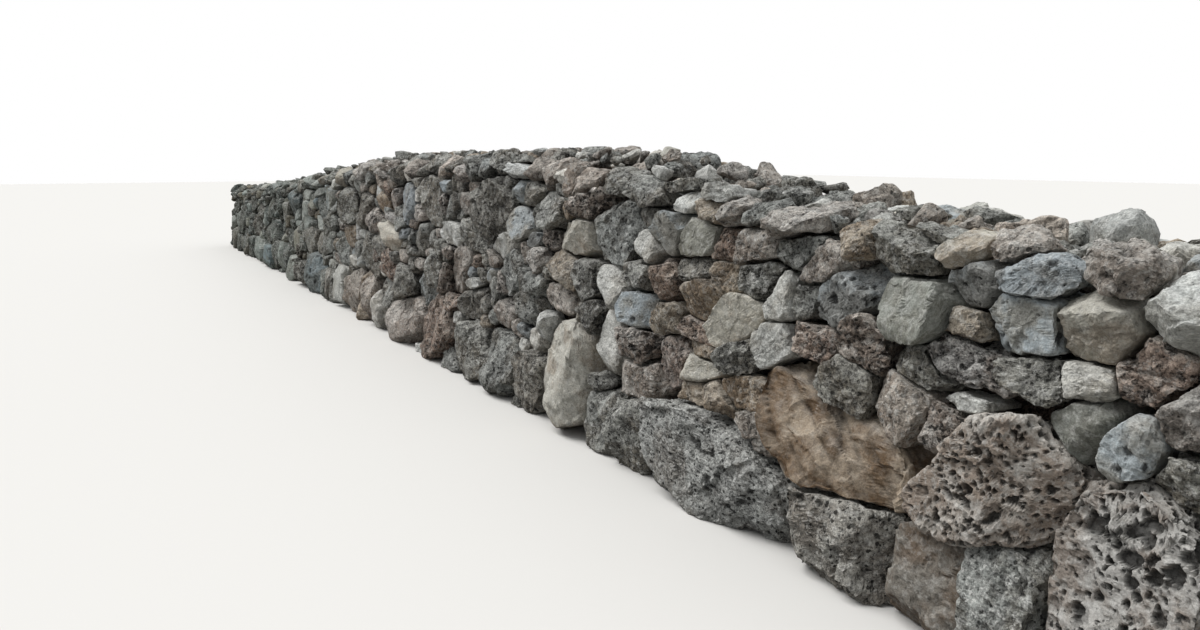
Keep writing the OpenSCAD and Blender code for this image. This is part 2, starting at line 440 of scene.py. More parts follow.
@dataclass
class Ovals:
    """Ovals on a plane."""

    middles: Array  # Their middles, one row each
    spreads: Array  # For each, the matrix whose eigenvalues are the squares of its half axes
    power: Array | float = 2.0  # How boxlike they are. 2 is an oval, and more is nearer to a box.

    @classmethod
    def of(cls, rows: Sequence[Sequence[float]]) -> Ovals:
        """Makes ovals from their sizes.

        Args:
            rows: For each, the two coordinates of its middle, its two half axes and its turn in degrees.

        Returns:
            The ovals.
        """
        if not rows:
            return cls(np.empty((0, 2)), np.empty((0, 2, 2)))
        table = np.array(rows, dtype=float)
        turn = np.radians(table[:, 4])
        along = np.stack([np.cos(turn), -np.sin(turn)], -1)
        across = np.stack([np.sin(turn), np.cos(turn)], -1)
        axes = np.stack([along, across], 1)
        squares = table[:, None, 2:4] ** 2
        return cls(table[:, :2], (axes * squares) @ axes.transpose(0, 2, 1))

    def followed_by(self, middles: Array, spreads: Array) -> Ovals:
        """These ovals and then plain ones with the given middles and spreads."""
        power = np.concatenate([np.broadcast_to(self.power, len(self.middles)), np.full(len(middles), 2.0)])
        return Ovals(np.concatenate([self.middles, middles]), np.concatenate([self.spreads, spreads]), power)

    def scaled(self, factors: Array) -> Ovals:
        """The ovals with each of the two axes of the plane scaled by its factor."""
        return Ovals(self.middles * factors, self.spreads * np.outer(factors, factors), self.power)

    def reach(self, points: Array) -> Array:
        """Distance of points from the middles: d^power = |u|^power + |v|^power, with u and v in half axes.

        Args:
            points: The points, as rows.

        Returns:
            The distances, with a row for each point and a column for each oval.
        """
        values, vectors = np.linalg.eigh(self.spreads)
        away = points[:, None, :] - self.middles[None]
        local = np.abs(np.einsum("pni,nij->pnj", away, vectors)) / np.sqrt(values)
        power = np.broadcast_to(self.power, len(self.middles))
        return ((local ** power[:, None]).sum(-1)) ** (1 / power)

    def sizes(self) -> Array:
        """Mean half axis of each oval."""
        return np.linalg.det(self.spreads) ** 0.25


@dataclass
class OvalFit:
    """Fills the ground between given ovals with more, so that all fit together."""

    chance: Chance  # The source of chance
    size_at: Callable[[Array], Array]  # Draws the wanted mean half axis at each point
    stretch: float = 1.0  # How many times longer along the first axis the new ovals are on the whole
    rounds: int = 9  # How often the ovals are moved
    throws: int = 9000  # Most places at which a new oval is tried
    # Share of its size that a new oval keeps free of a given one, in the given one's sizes
    given_room: float = 0.55
    new_room: float = 0.86  # How near two new ovals may lie, as a share of both their sizes
    strip: float = 0.5  # Width of the strips in which points look for their oval
    far: float = 0.9  # Distance beyond a strip at which an oval reaches none of its points
    least: int = 6  # A new oval with no more points than this is given up
    slender: float = 2.4  # Most length of a new oval for its width

    def fit(self, ground: Array, given: Ovals) -> Ovals:
        """Makes the new ovals.

        Middles are first thrown at random and kept where they have room. Then, in rounds, each point of the
        ground goes to the oval that reaches it best, and each new oval moves to the middle of its points and
        takes their spread, brought halfway to its wanted size.

        Args:
            ground: Evenly spaced points of the plane that the ovals have to cover.
            given: Ovals that stay as they are.

        Returns:
            The new ovals alone.
        """
        squeeze = np.array([1 / self.stretch, 1.0])
        ground = ground * squeeze
        given = given.scaled(squeeze)
        middles, sizes = self.throw(ground, given)
        spreads = np.eye(2)[None] * sizes[:, None, None] ** 2
        strips = np.floor((ground[:, 0] - ground[:, 0].min()) / self.strip).astype(int)
        for _ in range(self.rounds):
            ovals = given.followed_by(middles, spreads)
            owner = self.owners(ground, strips, ovals)
            middles, spreads, alive = self.moments(ground, ovals, owner, len(given.middles))
            sizes = sizes[alive]
            spreads = spreads * (sizes / np.linalg.det(spreads) ** 0.25)[:, None, None]
        return Ovals(middles / squeeze, spreads / np.outer(squeeze, squeeze))

    def throw(self, ground: Array, given: Ovals) -> tuple[Array, Array]:
        """Throws middles at random and keeps those that have room.

        Args:
            ground: Points of the plane.
            given: Ovals that are there.

        Returns:
            The middles and mean half axes of the first new ovals.
        """
        thrown = ground[self.chance.permutation(len(ground))[: self.throws]]
        wanted = self.size_at(thrown)
        free = np.ones(len(thrown), dtype=bool)
        if len(given.middles):
            room = given.reach(thrown) - 1 - self.given_room * wanted[:, None] / given.sizes()[None]
            free = room.min(1) >= 0
        kept: list[int] = []
        middles, sizes = thrown[kept], wanted[kept]
        for k in np.nonzero(free)[0]:
            away = np.linalg.norm(middles - thrown[k], axis=1)
            if (away < self.new_room * (sizes + wanted[k])).any():
                continue
            kept.append(k)
            middles, sizes = thrown[kept], wanted[kept]
        return middles, sizes

    def owners(self, ground: Array, strips: Array, ovals: Ovals) -> Array:
        """Finds the oval that reaches each point best, strip by strip.

        Args:
            ground: The points.
            strips: The strip in which each point lies.
            ovals: All the ovals.

        Returns:
            Index of each point's oval.
        """
        owner = np.empty(len(ground), dtype=int)
        along = ovals.middles[:, 0]
        for strip in np.unique(strips):
            inside = np.nonzero(strips == strip)[0]
            span = ground[inside, 0]
            near = np.nonzero((along > span.min() - self.far) & (along < span.max() + self.far))[0]
            some = Ovals(ovals.middles[near], ovals.spreads[near], ovals.power[near])
            owner[inside] = near[some.reach(ground[inside]).argmin(1)]
        return owner

    def moments(
        self, ground: Array, ovals: Ovals, owner: Array, first: int
    ) -> tuple[Array, Array, Array]:
        """Works out the middle and spread of the points of each new oval.

        An even oval's points have a quarter of its spread. Their spread is first taken about the oval's old
        middle, and the square of the way to the new one is taken off it.

        Args:
            ground: The points.
            ovals: All the ovals.
            owner: Index of each point's oval.
            first: Index of the first new oval.

        Returns:
            The new middles, the new spreads, and which of the new ovals are kept.
        """
        count = len(ovals.middles)

        def sum_up(values: Array | None) -> Array:
            """Sum of the points' values, or their number, for each new oval."""
            return np.bincount(owner, values, count)[first:]

        counts = sum_up(None)
        alive = counts > self.least
        share = counts[alive, None]
        means = np.stack([sum_up(ground[:, k]) for k in range(2)], -1)[alive] / share
        away = ground - ovals.middles[owner]
        products = [sum_up(away[:, i] * away[:, j]) for i, j in ((0, 0), (0, 1), (1, 1))]
        products = np.stack(products, -1)[alive] / share
        moved = means - ovals.middles[first:][alive]
        spread = np.empty((len(means), 2, 2))
        spread[:, 0, 0] = products[:, 0] - moved[:, 0] ** 2
        spread[:, 1, 1] = products[:, 2] - moved[:, 1] ** 2
        spread[:, 0, 1] = spread[:, 1, 0] = products[:, 1] - moved[:, 0] * moved[:, 1]
        values, vectors = np.linalg.eigh(4 * spread)
        values = np.maximum(values, values[:, 1:] / self.slender**2)
        return means, (vectors * values[:, None, :]) @ vectors.transpose(0, 2, 1), alive


def grid_points(low: Span, high: Span, step: float) -> Array:
    """Evenly spaced points of a rectangle, as rows."""
    sides = (np.arange(*ends, step) for ends in zip(low, high))
    return np.stack([part.ravel() for part in np.meshgrid(*sides, indexing="ij")], -1)


# Stones chosen by hand
# Listed stones


@dataclass(frozen=True)
class Chosen:
    """A stone of the front face that is listed one by one."""

    begin: float  # Distance of its nearer end from the near end of the wall
    end: float  # Distance of its further end from the near end of the wall
    low: float  # Height of its lowest place
    high: float  # Height of its highest place
    kind: Kind  # What it is made of
    turn: float = 0.0  # How far it rises towards the near end, in degrees


def rows_of(cls: type, *rows: tuple) -> list:
    """Makes one object of a class from each row of its values."""
    return [cls(*row) for row in rows]


# Boulders of the footing near the camera, from the near end
BOULDERS = rows_of(
    Chosen,
    (0.00, 0.42, 0.00, 0.62, GREY),
    (0.42, 0.86, 0.00, 0.84, COMB),
    (0.82, 1.48, 0.40, 0.92, COMB, 2),
    (0.85, 1.14, 0.00, 0.48, GREY),
    (1.13, 1.49, 0.00, 0.38, WORN),
    (1.48, 2.04, 0.00, 0.37, CORAL),
    (1.47, 2.30, 0.33, 0.82, STREAKED, -13),
    (2.06, 3.08, 0.00, 0.50, CORAL, -12),
    (3.08, 3.46, 0.00, 0.38, GREY),
    (3.46, 3.78, 0.00, 0.36, GREY),
    (3.78, 4.34, 0.06, 0.71, CREAM, 4),
    (4.36, 4.78, 0.00, 0.44, DARK),
    (4.78, 5.36, 0.02, 0.48, GREY),
    (5.36, 6.00, 0.00, 0.44, GREY),
)
# Facing stones near the camera, from the near end
FACING = rows_of(
    Chosen,
    (0.57, 0.77, 0.96, 1.18, RUST),
    (0.46, 0.64, 0.85, 1.08, PINK, 50),
    (0.62, 0.75, 0.74, 0.94, BLUE, 80),
    (0.48, 0.63, 0.70, 0.88, GREY, 80),
    (0.73, 0.97, 1.07, 1.28, CREAM),
    (0.78, 0.93, 0.96, 1.06, PALE),
    (0.76, 0.93, 0.77, 0.98, OLIVE, 80),
    (0.94, 1.24, 1.06, 1.26, BLUE),
    (0.86, 1.14, 0.93, 1.05, GREY),
    (1.17, 1.40, 1.17, 1.34, SLATE),
    (1.22, 1.37, 1.07, 1.16, TAN),
    (1.11, 1.45, 0.88, 1.09, POROUS, -20),
    (1.36, 1.68, 1.01, 1.26, OLIVE),
    (1.33, 1.63, 0.83, 1.02, GREY, -10),
    (1.26, 1.38, 0.68, 0.83, POROUS, 90),
    (1.16, 1.37, 0.79, 0.88, PALE),
    (1.39, 1.69, 0.65, 0.92, PINK),
    (1.62, 1.88, 0.85, 1.06, POROUS),
    (1.67, 2.06, 0.99, 1.24, SLATE, 25),
    (1.86, 2.15, 1.15, 1.36, PINK, 30),
    (2.04, 2.27, 1.22, 1.35, GREY),
    (1.69, 1.92, 0.68, 0.92, GREY, 85),
    (1.84, 2.20, 0.85, 1.01, RUST, -8),
    (2.10, 2.42, 0.76, 0.98, PALE, 25),
    (2.15, 2.34, 0.96, 1.17, PALE, 80),
    (2.02, 2.17, 0.99, 1.16, GREY, 80),
    (2.27, 2.51, 1.05, 1.24, DARK),
    (2.34, 2.72, 0.81, 1.06, CREAM, 30),
    (2.51, 2.73, 1.20, 1.36, RUST),
    (2.28, 2.54, 1.19, 1.38, PINK, 20),
    (2.71, 3.02, 1.20, 1.36, OLIVE, 15),
    (2.73, 3.04, 1.05, 1.20, DARK),
    (2.49, 2.75, 1.06, 1.21, TAN),
    (2.64, 2.98, 0.89, 1.13, TAN),
    (2.99, 3.28, 0.94, 1.14, RUST),
    (2.97, 3.26, 1.21, 1.40, BLUE),
    (3.20, 3.43, 1.12, 1.29, PALE),
    (3.40, 3.86, 1.08, 1.42, GREY),
    (3.10, 3.43, 1.29, 1.45, DARK),
    (3.84, 4.30, 1.11, 1.33, CREAM),
    (3.24, 3.50, 0.97, 1.12, GREY),
    (3.50, 3.75, 0.85, 1.08, PALE, 80),
    (3.74, 4.06, 0.84, 1.08, DARK),
    (3.19, 3.52, 0.76, 0.97, BLUE),
    (3.50, 3.77, 0.46, 0.86, PALE, 85),
    (3.19, 3.52, 0.60, 0.77, POROUS),
    (2.94, 3.20, 0.79, 0.95, TAN),
    (2.65, 2.96, 0.77, 0.91, RUST, -12),
    (2.54, 2.95, 0.69, 0.80, TAN, -8),
    (2.87, 3.13, 0.48, 0.80, RUST, 85),
    (2.59, 2.90, 0.60, 0.74, CREAM, 12),
    (2.27, 2.54, 0.54, 0.70, TAN),
    (2.34, 2.60, 0.68, 0.84, DARK, 20),
    (3.10, 3.50, 0.38, 0.61, PINK),
    (2.68, 2.88, 0.48, 0.59, TAN),
    (2.22, 2.44, 0.44, 0.55, PINK),
    (4.00, 4.40, 0.91, 1.09, TAN, -15),
    (4.06, 4.44, 0.72, 0.90, PINK, -10),
    (4.46, 4.64, 0.40, 0.58, PALE, 70),
    (4.50, 4.92, 0.55, 0.80, GREY),
    (4.92, 5.38, 0.97, 1.18, PALE, 15),
    (4.66, 5.06, 1.14, 1.33, BLUE),
    (4.98, 5.20, 0.48, 0.70, PINK, 80),
    (5.98, 6.40, 0.96, 1.18, PALE),
    (6.50, 7.10, 0.42, 0.72, GREY),
    (7.60, 8.10, 0.18, 0.52, GREY, 70),
)
# Stones along the front edge of the top, from the near end
EDGE = rows_of(
    Chosen,
    (0.44, 0.73, 1.14, 1.38, PALE),
    (0.69, 0.90, 1.28, 1.45, PINK, 10),
    (0.90, 1.17, 1.245, 1.40, SLATE),
    (1.06, 1.24, 1.33, 1.45, PINK),
    (1.22, 1.44, 1.31, 1.44, CREAM),
    (1.42, 1.73, 1.25, 1.45, GREY),
    (1.71, 1.92, 1.30, 1.45, TAN),
    (1.98, 2.33, 1.35, 1.48, PINK),
    (2.33, 2.50, 1.37, 1.49, GREY),
    (2.50, 2.67, 1.36, 1.51, PINK),
    (2.66, 2.86, 1.37, 1.50, TAN),
    (2.86, 3.12, 1.41, 1.53, PALE),
    (3.12, 3.50, 1.44, 1.57, GREY),
    (3.50, 3.86, 1.46, 1.62, GREY),
)


@dataclass(frozen=True)
class Loose:
    """A loose stone of the top that is listed one by one."""

    begin: float  # Distance of its nearer end from the near end of the wall
    end: float  # Distance of its further end from the near end of the wall
    across: float  # How far its middle lies behind the wall's middle
    deep: float  # Its size across the wall
    high: float  # Height of its highest place
    tall: float  # Its height
    kind: Kind  # What it is made of


# Loose stones on the top near the camera, from the near end
LOOSE = rows_of(
    Loose,
    (0.66, 0.82, -0.06, 0.18, 1.38, 0.22, BLUE),
    (0.82, 0.98, 0.10, 0.22, 1.41, 0.24, PALE),
    (1.03, 1.21, 0.14, 0.22, 1.485, 0.28, PALE),
    (1.24, 1.44, 0.17, 0.22, 1.42, 0.22, GREY),
    (1.20, 1.46, -0.09, 0.20, 1.45, 0.26, PINK),
    (1.49, 1.58, 0.12, 0.12, 1.44, 0.16, GREY),
    (1.59, 1.68, -0.17, 0.10, 1.43, 0.14, TAN),
    (1.63, 1.72, -0.02, 0.10, 1.44, 0.14, TAN),
    (1.78, 2.00, 0.16, 0.20, 1.49, 0.22, BLUE),
    (1.91, 2.05, 0.01, 0.14, 1.47, 0.16, CREAM),
    (2.18, 2.40, 0.15, 0.22, 1.555, 0.34, PINK),
    (2.42, 2.66, 0.16, 0.22, 1.51, 0.24, GREY),
    (2.41, 2.70, -0.05, 0.18, 1.49, 0.24, PALE),
    (2.79, 3.07, 0.05, 0.22, 1.53, 0.28, CORAL),
    (2.76, 2.97, 0.24, 0.22, 1.60, 0.32, GREY),
    (2.90, 3.14, -0.16, 0.17, 1.48, 0.22, TAN),
    (3.00, 3.19, 0.21, 0.18, 1.63, 0.30, PINK),
    (3.12, 3.42, -0.18, 0.20, 1.53, 0.28, GREY),
    (3.20, 3.40, 0.20, 0.22, 1.64, 0.30, GREY),
    (3.21, 3.52, 0.01, 0.20, 1.58, 0.28, PALE),
    (3.52, 3.74, 0.00, 0.22, 1.63, 0.34, DARK),
    (3.60, 3.88, 0.20, 0.24, 1.72, 0.36, GREY),
    (3.75, 4.02, -0.08, 0.24, 1.65, 0.30, PINK),
    (4.08, 4.36, 0.18, 0.26, 1.71, 0.30, PALE),
    (4.40, 4.80, 0.02, 0.30, 1.72, 0.30, GREY),
)


# Sub-assemblies


@dataclass
class Course:
    """Shared ways to lay stones in the wall."""

    form: WallForm  # The wall's form
    chance: Chance  # The source of chance

    def along(self, distance: float) -> float:
        """The x of a distance from the near end."""
        return float(self.form.high[0] - distance)

    def oval(self, stone: Chosen) -> tuple[float, float, float, float, float]:
        """Finds the oval of a chosen stone, whose box is about the stone's.

        An oval with half axes a and b, turned by t, has a box of half size w and h, where w^2 is
        a^2 cos^2 t + b^2 sin^2 t and h^2 is a^2 sin^2 t + b^2 cos^2 t. Near 45 degrees these don't tell a
        from b, and the stone is taken as longer than thick.

        Args:
            stone: The chosen stone.

        Returns:
            The middle, as x and z, the half axes and the turn.
        """
        turn = math.radians(stone.turn)
        wide, tall = (stone.end - stone.begin) / 2, (stone.high - stone.low) / 2
        cos2, sin2 = math.cos(turn) ** 2, math.sin(turn) ** 2
        spread = cos2 - sin2
        if abs(spread) > 0.3:
            first = (wide**2 * cos2 - tall**2 * sin2) / spread
            second = (tall**2 * cos2 - wide**2 * sin2) / spread
        else:
            first, second = wide**2 * 1.4, tall**2 * 0.7
        least, most = 0.72 * min(wide, tall), 1.15 * max(wide, tall)
        along, across = (min(math.sqrt(max(part, least**2)), most) for part in (first, second))
        x, z = self.along((stone.begin + stone.end) / 2), (stone.low + stone.high) / 2
        return x, z, along, across, stone.turn

    def face_stone(
        self,
        part: str,
        side: Side,
        middle: Array,
        spread: Array,
        depth: float,
        proud: float,
        kind: Kind,
    ) -> Stone:
        """Makes a stone from an oval on a face.

        Args:
            part: Last part of the node's name, such as facing.
            side: The face.
            middle: The oval's middle, as x and z.
            spread: The oval's spread.
            depth: Half the stone's depth into the wall.
            proud: How far it stands out of the plane of the joints.
            kind: What it is made of.

        Returns:
            The stone.
        """
        up, out = self.form.face_axes(side)
        values, vectors = np.linalg.eigh(spread)
        long = vectors[0, 1] * X_AXIS + vectors[1, 1] * up
        on_face = np.array([middle[0], side * self.form.half_width(middle[1]), middle[1]])
        axes = np.stack([long, np.cross(out, long), out], -1)
        half = np.array([math.sqrt(values[1]), math.sqrt(values[0]), depth])
        node = f"bay_{self.form.bay(middle[0])}_{side.name.lower()}_{part}"
        return Stone(node, on_face + (proud - depth) * out, axes, half, out, kind)


@dataclass
class Footing(Course):
    """Big boulders along the foot of both faces."""

    depth: float = 0.19  # Half the depth of a boulder into the wall
    proud: Span = (0.045, 0.082)  # How far a boulder stands out of the plane of the joints
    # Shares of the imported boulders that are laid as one, two and three stones
    split: tuple[float, float, float] = (0.3, 0.45, 0.25)
    low: float = 0.7  # Least height of such a stone, as a share of its packed boulder's height
    turn: float = 10.0  # How far such a stone is turned at random, in degrees
    full: float = 1.12  # How far a boulder fills out beyond its oval
    block: float = 1.4  # How boxlike a boulder is
    # How much finer the surface is of the listed boulders, and of honeycombed ones
    fine: Span = (1.15, 1.55)

    def lay(self, nodes: dict[str, bpy.types.Object]) -> list[Stone]:
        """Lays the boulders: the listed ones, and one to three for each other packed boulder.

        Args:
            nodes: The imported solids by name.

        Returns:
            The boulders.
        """
        stones = []
        for chosen in BOULDERS:
            stone = self.boulder(Side.FRONT, self.oval(chosen), chosen.kind)
            stone.fine = self.fine[chosen.kind is COMB]
            stones.append(stone)
        reached = self.along(BOULDERS[-1].end)
        for name, piece in nodes.items():
            if not name.endswith("footing"):
                continue
            side = Side.FRONT if "front" in name else Side.BACK
            for solid in solids_along(piece):
                low, high = solid.min(0), solid.max(0)
                if side is Side.FRONT and (low[0] + high[0]) / 2 > reached:
                    continue
                cuts = np.linspace(low[0], high[0], int(self.chance.choice(3, p=self.split)) + 2)
                for begin, end in zip(cuts, cuts[1:]):
                    tall = high[2] * self.chance.uniform(self.low, 1.0) / 2
                    turn = self.chance.normal(0, self.turn)
                    oval = ((begin + end) / 2, tall, (end - begin) / 2, tall, turn)
                    stones.append(self.boulder(side, oval, pick_kind(FACE_MIX, self.chance)))
        return stones

    def boulder(self, side: Side, oval: Sequence[float], kind: Kind) -> Stone:
        """Makes one boulder from its oval on a face.

        Args:
            side: The face.
            oval: Its middle, half axes and turn.
            kind: What it is made of.

        Returns:
            The boulder.
        """
        ovals = Ovals.of([oval])
        proud = self.chance.uniform(*self.proud)
        stone = self.face_stone("footing", side, ovals.middles[0], ovals.spreads[0], self.depth, proud, kind)
        stone.full = self.full
        stone.block = self.block
        return stone


@dataclass
class TopEdge(Course):
    """The larger stones along both edges of the top."""

    drop: Span = (0.0, 0.03)  # How far the stones' tops lie below the heap's edges, front and back
    uneven: Span = (-0.06, 0.045)  # How far a stone's top lies above that
    spare: Span = (0.0, 0.05)  # How far a stone's top stays below the wall's highest place
    bed: Span = (-0.11, 0.03)  # How far a stone's foot lies above the bed
    length: Span = (0.12, 0.34)  # Length of a stone
    depth: Span = (0.18, 0.30)  # Depth of a stone
    proud: Span = (0.01, 0.045)  # How far a stone stands out of the plane of the joints
    turn: float = 0.2  # How far a stone is turned at random, in radians
    brow: float = 0.015  # How far the crests lie above the tops

    def lay(self) -> list[Stone]:
        """Lays the edge stones: the listed ones, those on both sides of them, and those of the back."""
        stones = []
        for chosen in EDGE:
            x, half_length = self.along((chosen.begin + chosen.end) / 2), (chosen.end - chosen.begin) / 2
            stones.append(self.stone(Side.FRONT, x, half_length, chosen.low, chosen.high - 0.02, chosen.kind))
        near, far = self.form.high[0], self.form.low[0]
        stones += self.run(Side.FRONT, near, self.along(EDGE[0].begin))
        stones += self.run(Side.FRONT, self.along(EDGE[-1].end), far)
        return stones + self.run(Side.BACK, near, far)

    def run(self, side: Side, begin: float, end: float) -> list[Stone]:
        """Lays edge stones of random lengths.

        Args:
            side: The face above which they lie.
            begin: The x at which they begin.
            end: The smaller x at which they end.

        Returns:
            The stones.
        """
        stones = []
        at = begin
        while at - end > self.length[0] / 2:
            length = min(self.chance.uniform(*self.length), at - end)
            x = at - length / 2
            high = float(self.form.crown(x, 0.5 * side)) - self.drop[side is Side.BACK]
            high += self.chance.uniform(*self.uneven)
            high = min(high, float(self.form.high[2]) - self.chance.uniform(*self.spare))
            low = float(self.form.bed(x)) + self.chance.uniform(*self.bed)
            stones.append(self.stone(side, x, length / 2, low, high, pick_kind(TOP_MIX, self.chance)))
            at -= length
        return stones

    def stone(self, side: Side, x: float, half_length: float, low: float, high: float, kind: Kind) -> Stone:
        """Makes one edge stone.

        Args:
            side: The face above which it lies.
            x: Its middle along the wall.
            half_length: Half its length.
            low: Height of its foot.
            high: Height of its top.
            kind: What it is made of.

        Returns:
            The stone.
        """
        depth = self.chance.uniform(*self.depth) / 2
        z = (low + high) / 2
        y = side * (float(self.form.half_width(z)) + self.chance.uniform(*self.proud) - depth)
        turn = self.chance.normal(0, self.turn)
        cos, sin = math.cos(turn), math.sin(turn)
        axes = np.array([[cos, 0, -sin], [0, 1, 0], [sin, 0, cos]])
        half = np.array([half_length, depth, (high - low) / 2])
        outward = np.array([0.0, -0.5, 0.87] if side is Side.FRONT else [0.0, 0.24, 0.97])
        middle, node = np.array([x, y, z]), self.form.top_node(x)
        return Stone(node, middle, axes, half, outward, kind, crest=high + self.brow)


@dataclass
class Facing(Course):
    """Rubble facing between the footing and the top."""

    depth: Span = (0.12, 0.155)  # Half depth of a stone into the wall
    proud: Span = (-0.012, 0.056)  # How far a stone stands out of the plane of the joints
    laid_flat: float = 1.35  # How many times longer than high the stones are on the whole
    step: float = 0.022  # Distance between the points of the ground that the ovals are fitted on
    below: float = 0.04  # How far that ground ends below the top
    large: Span = (0.085, 0.175)  # Mean half axis of a large stone
    small: Span = (0.038, 0.07)  # Mean half axis of a small stone
    small_share: float = 0.35  # Share of small stones near the camera
    # Distances from the near end between which the stones become larger and the small ones fewer
    change: Span = (4.5, 7.0)
    power: float = 2.4  # How boxlike the ovals of the listed stones are
    full: Span = (1.12, 1.34)  # How far a stone fills out beyond its oval
    block: Span = (1.5, 1.85)  # How boxlike a stone is, at most and at least
    lean: float = 0.08  # How far a stone's face leans at random

    def lay(self, side: Side, around: list[Stone]) -> list[Stone]:
        """Lays the facing of one side.

        Args:
            side: The face.
            around: Footing and edge stones of that side.

        Returns:
            The facing stones.
        """
        chosen = FACING if side is Side.FRONT else []
        by_hand = Ovals.of([self.oval(stone) for stone in chosen])
        given = Ovals(
            np.array([stone.middle[::2] for stone in around] + [*by_hand.middles]),
            np.array([stone.body[::2, ::2] for stone in around] + [*by_hand.spreads]),
            np.array([2 + 2 * (2 - stone.block) for stone in around] + [self.power] * len(chosen)),
        )
        ground = grid_points((self.form.low[0], 0.0), (self.form.high[0], self.form.high[2]), self.step)
        ground = ground[ground[:, 1] < self.form.top(ground[:, 0]) - self.below]
        filled = OvalFit(self.chance, self.wanted, self.laid_flat).fit(ground, given)
        stones = []
        for stone, middle, spread in zip(chosen, by_hand.middles, by_hand.spreads):
            stones.append(self.one(side, middle, spread, stone.kind))
        for middle, spread in zip(filled.middles, filled.spreads):
            stones.append(self.one(side, middle, spread, pick_kind(FACE_MIX, self.chance)))
        return stones

    def wanted(self, points: Array) -> Array:
        """Draws the wanted mean half axis at each point. Further along, more stones are large, and larger.

        Args:
            points: The points, as x and z.

        Returns:
            The mean half axes.
        """
        further = np.interp(self.form.high[0] - points[:, 0], self.change, (0.0, 1.0))
        large = self.chance.uniform(*self.large, len(points)) * (1 + 0.25 * further)
        small = self.chance.uniform(0, 1, len(points)) < self.small_share - 0.12 * further
        return np.where(small, self.chance.uniform(*self.small, len(points)), large)

    def one(self, side: Side, middle: Array, spread: Array, kind: Kind) -> Stone:
        """Makes one facing stone from its oval. A small one is shallower and stands out less.

        Args:
            side: The face.
            middle: The oval's middle, as x and z.
            spread: The oval's spread.
            kind: What it is made of.

        Returns:
            The stone.
        """
        size = np.linalg.det(spread) ** 0.25
        depth = min(self.chance.uniform(*self.depth), 1.6 * size)
        proud = self.chance.uniform(*self.proud) * min(1.0, size / self.small[1])
        stone = self.face_stone("facing", side, middle, spread, depth, proud, kind)
        stone.full = self.chance.uniform(*self.full)
        stone.block = self.chance.uniform(*self.block)
        stone.crest = float(self.form.crown(middle[0], 0.6)) - 0.02
        stone.outward = unit(Vector(stone.outward) + Vector(self.chance.normal(0, self.lean, 3)))
        return stone


